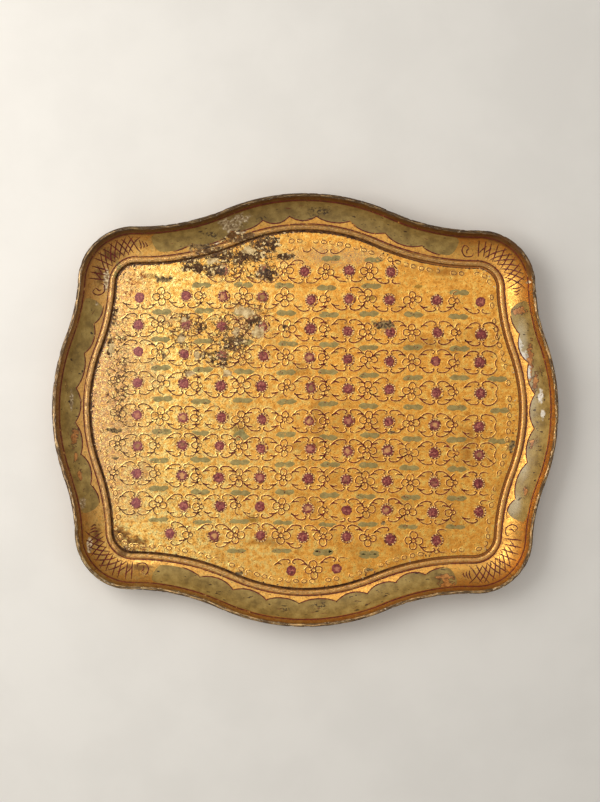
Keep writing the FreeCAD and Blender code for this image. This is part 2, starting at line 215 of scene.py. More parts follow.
def on_field(places):
    """Points and normals of the field at places given as (x, y)."""
    places = np.asarray(places, float)
    height = np.full(places.shape[:-1] + (1,), FIELD_TOP)
    normals = np.zeros(places.shape[:-1] + (3,))
    normals[..., 2] = 1
    return np.concatenate((places, height), -1), normals


# --- node trees ----------------------------------------------------------------------------------------


def rgb(red, green, blue):
    """A colour from its display values, 0 to 255, as the linear one that a shader takes."""
    parts = [c / 255 for c in (red, green, blue)]
    return tuple(p / 12.92 if p <= 0.04045 else ((p + 0.055) / 1.055) ** 2.4 for p in parts) + (1.0,)


class Nodes:
    """A node tree with short calls for the nodes used here. Sizes and depths are in mm, positions in metres.

    A colour is a socket or three display values. All noise is laid out in the tray's own coordinates.
    """

    def __init__(self, tree):
        self.tree = tree
        tree.nodes.clear()

    def add(self, kind, inputs=(), **settings):
        node = self.tree.nodes.new("ShaderNode" + kind)
        for key, value in settings.items():
            setattr(node, key, value)
        for key, value in dict(inputs).items():
            self.feed(node.inputs[key], value)
        return node

    def feed(self, socket, value):
        if isinstance(value, bpy.types.NodeSocket):
            self.tree.links.new(value, socket)
        elif value is not None:
            socket.default_value = value

    def place(self):
        return self.add("TexCoord").outputs["Object"]

    def value(self, name):
        return self.add("Attribute", attribute_name=name).outputs["Fac"]

    def axis(self, name):
        return self.add("SeparateXYZ", {0: self.place()}).outputs[name]

    def math(self, operation, *values):
        return self.add("Math", enumerate(values), operation=operation).outputs[0]

    def vector(self, operation, *values):
        outputs = self.add("VectorMath", enumerate(values), operation=operation).outputs
        return outputs["Value" if operation == "LENGTH" else "Vector"]

    def plus(self, first, second):
        return self.math("ADD", first, second)

    def less(self, first, second):
        return self.math("SUBTRACT", first, second)

    def times(self, first, second):
        return self.math("MULTIPLY", first, second)

    def scale(self, value, factor, shift):
        return self.math("MULTIPLY_ADD", value, factor, shift)

    def most(self, first, *others):
        for other in others:
            first = self.math("MAXIMUM", first, other)
        return first

    def mix(self, factor, first, second):
        """The first colour, turned into the second by the factor."""
        node = self.add("Mix", data_type="RGBA")
        for place, value in ((0, factor), (6, first), (7, second)):
            self.feed(node.inputs[place], rgb(*value) if isinstance(value, tuple) else value)
        return node.outputs[2]

    def layers(self, colour, *coats):
        """A colour under coats given as (mask, colour), the last one on top."""
        for mask, tint in coats:
            colour = self.mix(mask, colour, tint)
        return colour

    def grade(self, value, low, high, to_low=0.0, to_high=1.0):
        """A smooth change from to_low to to_high while the value goes from low to high."""
        inputs = {"Value": value, "From Min": low, "From Max": high, "To Min": to_low, "To Max": to_high}
        return self.add("MapRange", inputs, interpolation_type="SMOOTHSTEP").outputs[0]

    def noise(self, size, detail=4.0, rough=0.55, stretch=None, distortion=0.0):
        place = self.place()
        if stretch:
            place = self.vector("MULTIPLY", place, stretch)
        inputs = {"Vector": place, "Scale": 1 / (size * MM), "Detail": detail, "Roughness": rough}
        return self.add("TexNoise", {**inputs, "Distortion": distortion}).outputs["Fac"]

    def spots(self, size, low, high, share=1.0, detail=4.0, rough=0.55):
        """A mask of noise: none of it below the low value, that share of it above the high one."""
        return self.grade(self.noise(size, detail, rough), low, high, 0.0, share)

    def cells(self, size, feature="F1", output="Distance", ragged=0.0):
        """Cells of about that size, their borders bent by up to the ragged share of it."""
        place, size = self.place(), size * MM
        if ragged:
            drift = self.add("TexNoise", {"Vector": place, "Scale": 1.5 / size, "Detail": 3.0})
            drift = self.vector("SUBTRACT", drift.outputs["Color"], (0.5, 0.5, 0.5))
            place = self.vector("MULTIPLY_ADD", drift, (2 * ragged * size,) * 3, place)
        return self.add("TexVoronoi", {"Vector": place, "Scale": 1 / size}, feature=feature).outputs[output]

    def streaks(self, length, width, detail=4.0, rough=0.65):
        """Noise drawn out along the rim, its spots about that long and wide."""
        along = self.math("DIVIDE", self.value("along"), length * MM)
        inset = self.math("DIVIDE", self.value("inset"), width * MM)
        place = self.add("CombineXYZ", {0: along, 1: inset}).outputs[0]
        inputs = {"Vector": place, "Scale": 1.0, "Detail": detail, "Roughness": rough}
        return self.add("TexNoise", inputs).outputs["Fac"]

    def ramp(self, value, *stops):
        node = self.add("ValToRGB", {"Fac": value})
        points = node.color_ramp.elements
        for _ in stops[2:]:
            points.new(0.5)
        for point, (position, colour) in zip(points, stops):
            point.position, point.color = position, rgb(*colour)
        return node.outputs["Color"]

    def patch(self, ovals, ragged, grain, soft):
        """A mask of ovals (x, y, half width, half depth, in mm) whose edges a noise breaks up."""
        place, nearest = self.place(), None
        for x, y, wide, deep in ovals:
            scale = (1 / (wide * MM), 1 / (deep * MM), 0)
            shift = (-x / wide, -y / deep, 0)
            gap = self.vector("LENGTH", self.vector("MULTIPLY_ADD", place, scale, shift))
            nearest = gap if nearest is None else self.math("MINIMUM", nearest, gap)
        broken = self.scale(self.noise(grain, 3.0), 2 * ragged, -ragged)
        return self.grade(self.plus(nearest, broken), 1 - soft, 1.0, 1.0, 0.0)

    def finish(self, colour, rough, metal, height, depth, level=0.5, coat=(0.0, 0.03)):
        """The shader, with heights up to that depth in mm on it, under a coat (weight, roughness)."""
        normal = self.add("Bump", {"Height": height, "Distance": depth * MM}).outputs["Normal"]
        inputs = {"Base Color": colour, "Roughness": rough, "Metallic": metal, "Normal": normal}
        shader = self.add("BsdfPrincipled", inputs)
        for name, value in zip(("Specular IOR Level", "Coat Weight", "Coat Roughness"), (level, *coat)):
            shader.inputs[name].default_value = value
        self.add("OutputMaterial", {"Surface": shader.outputs[0]})


def material(name):
    made = bpy.data.materials.new(name)
    made.use_nodes = True
    return made, Nodes(made.node_tree)


# --- gold leaf and its wear ----------------------------------------------------------------------------

# ovals on the tray where its surface is damaged: x, y, half width, half depth, in mm
FLAKED = ((-38, 152, 15, 10), (-50, 142, 17, 7), (-80, 141, 14, 8), (-84, 128, 11, 7), (-101, 130, 8, 6),
          (-38, 125, 11, 8), (-62, 138, 10, 6), (-20, 141, 9, 4), (-66, 159, 20, 6), (-93, 147, 14, 6),
          (-108, 137, 9, 4), (-110, 130, 8, 4))
BRUISED = ((-66, 60, 14, 10), (-79, 46, 12, 9), (-92, 48, 9, 6), (-114, 64, 5, 7), (-113, 84, 7, 5),
           (-108, 33, 8, 5), (-48, 80, 12, 8), (-180, 56, 4, 14), (-177, 86, 4, 10), (-98, 76, 7, 6))
CHALKY = ((-57, 90, 10, 6), (-44, 71, 7, 6), (-54, 147, 7, 4), (-115, 64, 4, 4), (-113, 82, 3, 3),
          (-100, 49, 3, 5), (-64, 72, 4, 4), (-72, 33, 5, 4), (-107, 32, 5, 3), (-179, 54, 3, 6),
          (-88, 136, 5, 3))
CRACKLED = ((-66, 68, 32, 30), (-52, 93, 22, 14), (-64, 134, 50, 22), (-112, 70, 18, 20),
            (-172, 30, 14, 60))
RUSTED = ((-173, -114, 6, 11), (-164, -121, 11, 9), (-148, -128, 16, 6), (-160, 117, 9, 8),
          (-165, 106, 6, 7), (-152, 121, 8, 6), (-171, -130, 9, 6), (-112, 143, 14, 4))
# varnish haze, partly painted glare: greyish paler gold where the light glances off, most of it at the
# field's left
HAZE_AND_GLARE_OVALS = ((20, 142, 70, 16), (-166, -22, 24, 36), (-170, 40, 18, 60), (-156, -97, 16, 8), (-130, 85, 22, 12),
         (-160, 50, 22, 40), (-150, -60, 14, 20), (-58, 80, 26, 26), (-150, 30, 30, 24),
         (-138, -22, 14, 10))
STAINED = ((129, 129, 25, 5), (-8, 38, 20, 10), (13, -7, 12, 40), (10, -34, 30, 8), (150, -30, 12, 30),
           (110, 60, 30, 12), (-40, -122, 30, 5), (-195, -110, 10, 26), (-187, -136, 13, 13),
           (-160, -150, 26, 9), (191, -116, 9, 22), (172, -141, 18, 9))
SOOTED = ((71, 79, 12, 5.5), (74, 79, 9, 4.5), (-132, 119, 11, 4), (73, -103, 3, 3), (61, -147, 6, 2),
          (191, -31, 3, 8), (-59, -152, 5, 3), (-20, 76, 3, 2.5), (80, -20, 5, 2), (-131, 48, 3, 3),
          (-177, -21, 9, 3), (-182, 5, 2.5, 2), (-170, 6, 2, 1.5), (-174, -47, 3, 2), (-115, 66, 3, 4),
          (-100, 150, 12, 3))
BURNT = ((-170, -118, 11, 12), (-159, -126, 19, 9))
SMEARED = ((-47, -102, 8, 5), (60, 104, 8, 3), (-145, 122, 10, 4), (-61, -20, 8, 7), (103, 115, 5, 3))


def sound_leaf(g, mottle, grain, leftwards):
    """Sound gold leaf, clouded with olive and grained: deep at the right, paler at the left partly as painted
    light, with painted glints.
    """
    deep = g.ramp(mottle, (0.32, (204, 134, 52)), (0.48, (246, 174, 74)), (0.66, (255, 210, 110)))
    pale = g.ramp(mottle, (0.32, (186, 124, 50)), (0.46, (246, 190, 94)), (0.62, (255, 232, 148)))
    return g.layers(
        g.mix(leftwards, deep, pale),
        (g.spots(24, 0.48, 0.66, 0.4), (190, 130, 54)),
        (g.grade(grain, 0.53, 0.68, 0.0, 0.7), (158, 98, 38)),
        # painted glints: specks of pale highlight, paler still at the left
        (g.spots(1.3, 0.60, 0.68, 0.55, 3.0, 0.7), g.mix(leftwards, (255, 206, 108), (255, 230, 150))),
    )


def bare_ground(g, ground):
    """What shows where the leaf has flaked off: brown ground with cream chips and dark cracks in it."""
    under = g.ramp(ground, (0.42, (52, 34, 23)), (0.52, (94, 65, 39)), (0.63, (142, 108, 66)),
                   (0.75, (204, 166, 104)))
    chips = g.add("SeparateColor", {0: g.cells(2.2, output="Color", ragged=0.9)}).outputs["Red"]
    rifts = g.grade(g.cells(2.2, "DISTANCE_TO_EDGE", ragged=0.9), 0.02, 0.12, 0.7, 0.0)
    return g.layers(under, (g.grade(chips, 0.81, 0.87), (236, 206, 146)), (rifts, (54, 34, 22)))


def damage(g):
    """Masks of the rust, the cracks, the lost leaf, the soot and the chalk."""
    edges = g.grade(g.cells(4.0, "DISTANCE_TO_EDGE", ragged=0.5), 0.02, 0.13, 1.0, 0.0)
    rust = g.times(g.patch(RUSTED, 0.8, 5, 0.7), g.spots(2.4, 0.46, 0.58))
    cracks = g.times(g.times(g.patch(CRACKLED, 0.7, 8, 0.5), edges), g.spots(5, 0.42, 0.54))
    flaked = g.times(g.patch(FLAKED, 1.0, 5, 0.3), g.spots(4, 0.33, 0.42))
    bruised = g.times(g.patch(BRUISED, 1.0, 6, 0.4), g.spots(3.5, 0.42, 0.50))
    return rust, cracks, g.most(flaked, bruised), g.patch(SOOTED, 1.3, 4, 0.5), g.patch(CHALKY, 1.0, 4, 0.3)


def build_gilt():
    """The group that all gilded and painted surfaces share, so that the same wear runs through them."""
    tree = bpy.data.node_groups.new("aged_gilt", "ShaderNodeTree")
    for name in ("Color", "Roughness", "Height", "Bare", "Worn"):
        kind = "NodeSocketColor" if name == "Color" else "NodeSocketFloat"
        tree.interface.new_socket(name, in_out="OUTPUT", socket_type=kind)
    g = Nodes(tree)
    across, up, grain = g.axis("X"), g.axis("Y"), g.noise(1.1, 3.0, 0.6)
    mottle, ground = g.noise(4.5, 6.0, 0.62), g.noise(3.6, 5.0, 0.72, distortion=1.2)
    # leftwards grows towards the field's left: it pales the gold and its glints there, partly as painted
    # light, and adds dark specks there
    leftwards = g.grade(g.scale(g.noise(45, 3.0), 120 * MM, across), -90 * MM, 110 * MM, 1.0, 0.0)
    pits = g.times(g.grade(g.cells(2.6), 0.10, 0.28, 1.0, 0.0), g.grade(mottle, 0.42, 0.56))
    # the field's left edge: rubbed, and together with the haze ovals partly painted glare
    rubbed = g.times(g.grade(across, -200 * MM, -120 * MM, 1.0, 0.0), g.grade(up, -125 * MM, -70 * MM))
    haze_and_glare = g.times(g.most(g.patch(HAZE_AND_GLARE_OVALS, 0.8, 12, 0.9), rubbed), g.grade(grain, 0.38, 0.6, 0.15, 0.8))
    pepper = g.times(g.spots(1.7, 0.56, 0.63, 0.9, 4.0, 0.75), g.grade(leftwards, 0.2, 0.9))
    rust, cracks, lost, soot, chalk = damage(g)
    grey = g.ramp(g.noise(2.6, 4.0, 0.65), (0.42, (58, 44, 32)), (0.5, (112, 92, 62)), (0.6, (158, 132, 88)))
    colour = g.layers(
        sound_leaf(g, mottle, grain, leftwards),
        (g.times(g.patch(STAINED, 0.9, 14, 0.9), 0.5), (150, 96, 40)),
        (g.times(g.patch(SMEARED, 0.6, 6, 0.6), 0.7), (140, 110, 48)),
        (haze_and_glare, (178, 144, 102)),
        (g.times(rubbed, g.spots(2.2, 0.42, 0.56, 0.75, 4.0, 0.7)), (184, 136, 102)),
        (pepper, (104, 72, 42)),
        (g.times(pits, 0.7), (84, 54, 28)),
        (rust, (134, 76, 36)),
        (cracks, (74, 46, 32)),
        (lost, bare_ground(g, ground)),
        (soot, grey),
        (chalk, g.ramp(mottle, (0.38, (160, 130, 84)), (0.6, (222, 196, 144)))),
    )
    worn = g.most(lost, chalk, cracks, soot)
    bare = g.most(worn, g.times(g.plus(g.plus(haze_and_glare, rust), pits), 0.6))
    height = g.scale(grain, 0.5, g.scale(mottle, 0.5, g.times(g.cells(2.3, "SMOOTH_F1"), 0.7)))
    height = g.less(height, g.times(worn, g.grade(ground, 0.3, 0.7, 1.3, 0.3)))
    height = g.less(height, g.times(pits, 0.5))
    rough = g.most(g.grade(mottle, 0.3, 0.7, 0.46, 0.32), g.times(bare, 0.8))
    ends = tree.nodes.new("NodeGroupOutput").inputs
    for socket, end in zip((colour, rough, height, bare, worn), ends):
        tree.links.new(socket, end)
    return tree


GILT = build_gilt()
DULL = 0.15  # how much the ground and grime between the gold reflect


def gilded(name):
    """A new material, its nodes and the outputs of the shared group by name."""
    made, g = material(name)
    node = g.add("Group", node_tree=GILT)
    return made, g, {s.name: s for s in node.outputs}


def bright_gold():
    """The burnished gold of raised beads and of the lips beside pressed lines."""
    made, g, leaf = gilded("bright_gold")
    colour = g.mix(g.scale(leaf["Worn"], -0.3, 0.3), leaf["Color"], (255, 214, 128))
    g.finish(colour, leaf["Roughness"], g.scale(leaf["Bare"], -0.9, 0.9), leaf["Height"], 0.22, DULL)
    return made


def underside_wash(g):
    """Colour of the thin brown wash over the bare wood of the underside and the outer wall."""
    grain = g.noise(3, 5.0, 0.6, (0.12, 1.0, 1.0), 0.6)
    brushed = g.noise(16, 4.0, 0.5, (0.3, 1.0, 1.0))
    wash = g.ramp(grain, (0.35, (92, 56, 32)), (0.55, (126, 82, 46)), (0.72, (150, 104, 62)))
    return g.mix(g.grade(brushed, 0.42, 0.62, 0.0, 0.5), wash, (104, 60, 38))


def field_gold():
    """The panel: gold leaf on the raised field, grime in the groove painted lighter at the right as painted
    light, wash on the underside.
    """
    made, g, leaf = gilded("field_gold")
    height = g.axis("Z")
    grime = g.grade(g.scale(g.noise(3), 1.2 * MM, height), 4.3 * MM, 5.0 * MM, 1.0, 0.0)
    dirt = g.ramp(g.noise(4), (0.4, (66, 42, 24)), (0.65, (124, 82, 44)))
    colour = g.layers(
        leaf["Color"],
        (g.times(g.patch(BURNT, 0.9, 5, 0.7), 0.85), dirt),
        # painted light: the groove's grime lighter towards the right
        (grime, g.mix(g.grade(g.axis("X"), 40 * MM, 180 * MM), dirt, (190, 124, 62))),
        (g.grade(height, 1.0 * MM, 2.0 * MM, 1.0, 0.0), underside_wash(g)),
    )
    shine = g.times(g.less(1.0, g.most(grime, leaf["Bare"])), 0.9)
    rough = g.most(leaf["Roughness"], g.times(grime, 0.8))
    g.finish(colour, rough, shine, leaf["Height"], 0.22, DULL)
    return made


# ovals on the rim, as above: brown grime, bare chalk and green paint gone astray
RIM_GRIME = ((176, 158, 16, 6), (189, 149, 9, 8), (202, 131, 5, 14), (-168, -133, 11, 6),
             (-178, 140, 14, 10), (-190, 122, 6, 12), (-190, -118, 7, 14), (-150, -146, 20, 5),
             (-70, 162, 16, 8))
RIM_CHALK = ((-185, 117, 3, 13), (-62, 164, 7, 3), (-84, 153, 5, 2), (202, 119, 2, 1.5),
             (-196, -126, 2.5, 8))
RIM_GREEN = ((-174, 131, 3, 6), (-176, 122, 2, 5), (165, -95, 3, 3), (116, -150, 4, 3))
# the rim's colours by inset in mm: the lip, whose cream top is worn gesso and partly painted highlight, the
# band, the cove, the ridge and the groove's edge
RIM_WIDTH = 32
RIM_BANDS = (
    (0.0, (36, 26, 20)), (0.8, (58, 42, 30)), (1.3, (206, 176, 134)), (2.8, (210, 178, 132)),
    (3.2, (84, 56, 34)), (3.6, (84, 56, 30)), (4.0, (118, 84, 46)), (6.4, (134, 100, 58)),
    (8.0, (184, 138, 70)), (22.0, (232, 174, 88)), (25.6, (206, 150, 80)), (26.6, (236, 190, 122)),
    (28.2, (228, 176, 106)), (28.7, (150, 104, 62)), (29.2, (232, 182, 112)),
    (30.2, (204, 150, 86)), (30.8, (92, 60, 34)), (32.0, (60, 40, 26)),
)


def rim_gold():
    """The rails' upper face: coloured in bands by how far in from the lip's edge each point lies, with
    painted shade along the back and the groove's edge painted lighter at the right.
    """
    made, g, leaf = gilded("rim_gold")
    across, up = g.axis("X"), g.axis("Y")
    inset = g.scale(g.noise(5), 0.8 * MM, g.less(g.value("inset"), 0.4 * MM))
    place = g.math("DIVIDE", inset, RIM_WIDTH * MM)
    bands = g.ramp(place, *((at / RIM_WIDTH, colour) for at, colour in RIM_BANDS))
    lip = g.grade(inset, 3.0 * MM, 3.8 * MM, 1.0, 0.0)
    ridge = g.grade(inset, 25.6 * MM, 26.6 * MM)
    dirt = g.spots(2.6, 0.52, 0.64, 0.6, 5.0, 0.72)
    # painted light: a brown groove edge, lighter towards the right
    groove = g.times(g.grade(inset, 30.1 * MM, 30.8 * MM), g.grade(across, 40 * MM, 180 * MM, 0.2, 0.9))
    scratches = g.times(g.grade(g.streaks(5, 1.0), 0.50, 0.60), ridge)
    scratches = g.times(scratches, g.grade(across, 40 * MM, 190 * MM, 0.6, 0.25))
    flecks = g.times(g.grade(g.streaks(2.2, 0.9, 3.0), 0.60, 0.66), ridge)
    rubbed = g.times(g.grade(g.streaks(14, 1.3, 5.0, 0.7), 0.45, 0.53), lip)
    chalk = g.times(g.grade(g.streaks(4, 1.4, 4.0, 0.7), 0.59, 0.62), lip)
    # painted shade: the lip and band darker along the back, and the ridge at the back from the middle
    # rightwards
    painted_shade_lip = g.times(g.grade(up, 105 * MM, 165 * MM, 0.0, 0.6), g.grade(inset, 6 * MM, 8 * MM, 1.0, 0.0))
    painted_shade_ridge = g.times(g.grade(up, 100 * MM, 150 * MM, 0.0, 0.25), g.grade(across, -90 * MM, 0.0))
    grimed = g.times(g.patch(RIM_GRIME, 0.9, 7, 0.9), 0.85)
    chalked = g.patch(RIM_CHALK, 0.8, 4, 0.3)
    colour = g.layers(
        g.mix(0.7, leaf["Color"], bands),
        (g.times(leaf["Worn"], 0.9), leaf["Color"]),
        (dirt, (112, 78, 42)),
        (groove, (140, 92, 50)),
        (scratches, (120, 84, 50)),
        (flecks, (222, 190, 158)),
        (g.times(rubbed, 0.9), (62, 44, 32)),
        (chalk, (224, 202, 168)),
        (g.most(painted_shade_lip, g.times(painted_shade_ridge, ridge)), (54, 38, 26)),
        (grimed, (98, 64, 32)),
        (chalked, g.ramp(g.noise(3), (0.42, (140, 110, 74)), (0.6, (232, 210, 170)))),
        (g.times(g.patch(RIM_GREEN, 0.8, 4, 0.6), 0.7), (146, 140, 84)),
    )
    grime = g.grade(inset, 30.4 * MM, 30.9 * MM)
    bare = g.most(rubbed, chalk, grime, leaf["Bare"], chalked, grimed, flecks)
    rough = g.most(leaf["Roughness"], g.times(bare, 0.75))
    height = g.less(leaf["Height"], g.times(g.most(rubbed, scratches), 0.8))
    dull = g.most(bare, g.times(g.most(dirt, scratches), 0.8))
    g.finish(colour, rough, g.scale(dull, -0.85, 0.85), height, 0.26, DULL)
    return made


def rim_wall():
    """The rails' outer wall and foot: a brown wash, gold near the lip, rubbed to pale wood at the foot."""
    made, g, leaf = gilded("rim_wall")
    ragged = g.scale(g.noise(9, 5.0, 0.65), 12 * MM, g.less(g.axis("Z"), 6 * MM))
    gold = g.grade(ragged, 15 * MM, 19 * MM)
    foot = g.times(g.grade(ragged, 0.0, 3.0 * MM, 1.0, 0.0), 0.7)
    scuffs = g.grade(g.noise(4, 5.0, 0.7, (1.0, 1.0, 2.5)), 0.60, 0.68)
    wash = underside_wash(g)
    colour = g.layers(wash, (gold, leaf["Color"]), (foot, (178, 140, 92)), (scuffs, (58, 38, 26)))
    shine = g.times(gold, g.scale(scuffs, -0.6, 0.6))
    g.finish(colour, g.grade(g.noise(8), 0.3, 0.7, 0.45, 0.7), shine, leaf["Height"], 0.3)
    return made


def two_tones(g, size, dark, light):
    """Paint of a dark and a light tone, in spots of about that size."""
    return g.mix(g.spots(size, 0.35, 0.65, 1.0, 4.0, 0.6), dark, light)


def paint(name, light, dark, thin=0.0, sheer=0.0):
    """Paint laid over the gold: two tones of it, sheer by a share, and rubbed through in places."""
    made, g, leaf = gilded(name)
    rub = g.scale(g.value("seed"), 0.12, g.noise(4, 5.0, 0.7))
    through = g.most(g.grade(rub, 0.68 - thin, 0.80 - thin), leaf["Worn"], sheer)
    colour = g.mix(through, two_tones(g, 3, dark, light), leaf["Color"])
    metal = g.times(through, g.scale(leaf["Bare"], -0.9, 0.9))
    g.finish(colour, g.grade(through, 0.0, 1.0, 0.45, 0.42), metal, leaf["Height"], 0.12, 0.25)
    return made


def line_paint():
    """The field's thin lines: maroon, gone brown where the left side has been rubbed."""
    made, g, leaf = gilded("line_maroon_field")
    across = g.axis("X")
    tone = two_tones(g, 3, (84, 30, 24), (126, 48, 36))
    tone = g.mix(g.grade(across, -170 * MM, 0.0, 0.9, 0.0), tone, (92, 62, 44))
    faint = g.grade(across, -190 * MM, -90 * MM, 0.06, 0.0)
    rub = g.scale(g.value("seed"), 0.12, g.plus(g.noise(4, 5.0, 0.7), faint))
    through = g.most(g.grade(rub, 0.64, 0.80), g.times(leaf["Worn"], 0.6))
    g.finish(g.mix(through, tone, leaf["Color"]), 0.55, 0.0, leaf["Height"], 0.1, 0.15)
    return made


def disc_paint():
    """The round berries: maroon at the edge, with painted pink highlights in the middle, many of them rubbed
    in the middle to gold, pink or olive.
    """
    made, g, leaf = gilded("berry_paint")
    seed, middle = g.value("seed"), g.value("middle")
    # painted highlight: pink spots in the berries' middles
    berry_highlight = g.times(g.spots(1.8, 0.50, 0.62, 0.7, 3.0, 0.6), g.grade(middle, 0.1, 0.6))
    spread = g.plus(middle, g.scale(g.noise(2.2, 3.0, 0.6), 1.4, -0.7))
    rubbed = g.times(g.grade(spread, 0.35, 0.75), g.grade(seed, 0.66, 0.92))
    chance = g.math("FRACT", g.times(seed, 37.0))
    colour = g.layers(
        two_tones(g, 2.4, (84, 28, 30), (134, 54, 52)),
        (g.spots(3.2, 0.50, 0.62, 0.55, 4.0, 0.7), (172, 100, 86)),
        (berry_highlight, (204, 124, 100)),
        (g.grade(g.axis("X"), -170 * MM, -60 * MM, 0.35, 0.0), (160, 98, 100)),
        (g.times(rubbed, 0.8),
         g.ramp(chance, (0.2, (190, 124, 92)), (0.5, (142, 112, 56)), (0.8, (214, 160, 96)))),
        (leaf["Worn"], leaf["Color"]),
    )
    g.finish(colour, g.grade(g.noise(3), 0.3, 0.7, 0.38, 0.6), 0.1, leaf["Height"], 0.16, 0.3)
    return made


# ovals on the painted panels, as above: bare bole, bare gesso, soot, and painted sheen where the right panel
# catches the light
PANEL_BOLE = ((130, -152, 9, 3), (131, -158, 9, 3), (131, -155, 4, 4), (195, 93, 6, 4), (206, 46, 3, 20),
              (211, 28, 3, 9), (209, -28, 2, 5), (203, -72, 2, 5), (-212, -27, 3, 10), (-206, -62, 2, 6),
              (-210, -46, 1.6, 5))
PANEL_GESSO = ((-70, 168, 13, 8), (-60, 175, 9, 4), (-215, 6, 1.6, 12), (-203, -88, 4, 6), (196, 62, 4, 12),
               (201, 50, 3.5, 8), (205, 35, 3, 8), (216, 15, 2.5, 8), (218, -1, 2, 6), (-193, 100, 2, 7),
               (190, 78, 2, 6))
PANEL_SOOT = ((-43, 175, 6, 3), (11, 182, 14, 5), (16, -180, 10, 4), (-16, -183, 5, 2), (-88, 160, 8, 3))
PANEL_SHEEN = ((198, 66, 7, 26), (207, 12, 9, 40), (200, -44, 8, 26), (193, -84, 8, 18))


def green_panel_paint():
    """Olive glaze on the cove, with bole and gesso showing where it has flaked, painted sheen on the right
    panel and painted shade on the back one.
    """
    made, g, leaf = gilded("panel_green")
    mottle = g.noise(9, 5.0, 0.6)
    bole = g.patch(PANEL_BOLE, 1.3, 3.5, 0.4)
    torn = g.times(bole, g.less(1.0, bole))
    soot = g.times(g.patch(PANEL_SOOT, 0.9, 4, 0.5), g.spots(2.4, 0.48, 0.56, 1.0, 3.0))
    chalk = g.ramp(g.noise(3, 5.0, 0.7), (0.40, (112, 88, 56)), (0.52, (166, 142, 102)),
                   (0.66, (232, 216, 184)))
    colour = g.layers(
        g.ramp(mottle, (0.32, (116, 92, 44)), (0.5, (146, 119, 60)), (0.68, (168, 141, 78))),
        # painted sheen: a greyish pale glare on the right panel near its scallops
        (g.times(g.patch(PANEL_SHEEN, 0.5, 16, 0.8), 0.7), (176, 162, 128)),
        (g.spots(1.6, 0.55, 0.72, 0.5, 3.0, 0.7), (92, 72, 36)),
        (g.grade(g.noise(3.2, 2.0, 0.5, (0.35, 1.0, 1.0)), 0.66, 0.70), (62, 42, 24)),
        # painted shade: the back panel darker towards the back
        (g.grade(g.axis("Y"), 140 * MM, 185 * MM, 0.0, 0.3), (80, 60, 30)),
        (bole, g.ramp(g.noise(4), (0.4, (140, 86, 36)), (0.6, (190, 130, 66)))),
        (g.grade(torn, 0.05, 0.2, 0.0, 0.8), (78, 50, 28)),
        # bare gesso, whiter towards the right partly as painted highlight
        (g.patch(PANEL_GESSO, 1.0, 4, 0.5),
         g.mix(g.grade(g.axis("X"), 0.0, 150 * MM, 0.0, 0.65), chalk, (236, 232, 220))),
        (g.times(soot, 0.85), (54, 38, 26)),
    )
    height = g.less(leaf["Height"], g.most(bole, soot))
    g.finish(colour, g.grade(mottle, 0.3, 0.7, 0.34, 0.5), 0.1, height, 0.2, 0.3, (0.2, 0.35))
    return made


# --- meshes --------------------------------------------------------------------------------------------


def add_piece(name, points, faces, materials, values=(), replaced=()):
    """A mesh piece of the tray, smooth shaded, with named numbers stored on its points."""
    mesh = bpy.data.meshes.new(name)
    mesh.from_pydata(np.asarray(points, float).reshape(-1, 3).tolist(), [], faces)
    for key, numbers in dict(values).items():
        mesh.attributes.new(key, "FLOAT", "POINT").data.foreach_set("value", np.ravel(numbers))
    for each in materials:
        mesh.materials.append(each)
    mesh.shade_smooth()
    piece = bpy.data.objects.new(name, mesh)
    bpy.context.scene.collection.objects.link(piece)
    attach(piece, "root")
    if replaced:
        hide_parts(*replaced)
    return piece


def neighbours(count, closed=True):
    """Each place in a row with the next one, and in a ring the last with the first."""
    return [(k, (k + 1) % count) for k in range(count if closed else count - 1)]


def grid_faces(rows, columns, closed=False):
    """The faces of a grid of points kept row by row, whose rows may close into rings."""
    return [(i * columns + k, i * columns + n, (i + 1) * columns + n, (i + 1) * columns + k)
            for i in range(rows - 1) for k, n in neighbours(columns, closed)]


class Heap:
    """Many small shapes gathered into one mesh. Each has a seed of its own, which varies its wear."""

    def __init__(self):
        self.points, self.faces, self.seeds, self.middles, self.count = [], [], [], [], 0

    def add(self, points, faces, middle=None):
        points = np.asarray(points, float).reshape(-1, 3)
        self.points.append(points)
        self.faces += [tuple(i + self.count for i in face) for face in faces]
        self.seeds.append(np.full(len(points), hand.random()))
        self.middles.append(np.zeros(len(points)) if middle is None else np.ravel(middle))
        self.count += len(points)

    def make(self, name, painted, slot):
        values = {"seed": np.concatenate(self.seeds), "middle": np.concatenate(self.middles)}
        return add_piece(name, np.concatenate(self.points), self.faces, [painted], values)


def curve_through(places, steps=5, closed=False):
    """A smooth line through given points (Catmull-Rom)."""
    places = np.asarray(places, float)
    if closed:
        ends = np.vstack((places[-1:], places, places[:2]))
    else:
        ends = np.vstack((2 * places[0] - places[1], places, 2 * places[-1] - places[-2]))
    t = np.linspace(0, 1, steps, endpoint=False)[:, None]
    runs = []
    for a, b, c, d in zip(ends, ends[1:], ends[2:], ends[3:]):
        square, cube = 2 * a - 5 * b + 4 * c - d, 3 * b - a - 3 * c + d
        runs.append(0.5 * (2 * b + (c - a) * t + square * t**2 + cube * t**3))
    line = np.vstack(runs)
    return line if closed else np.vstack((line, places[-1:]))


SUNK = 0.05 * MM


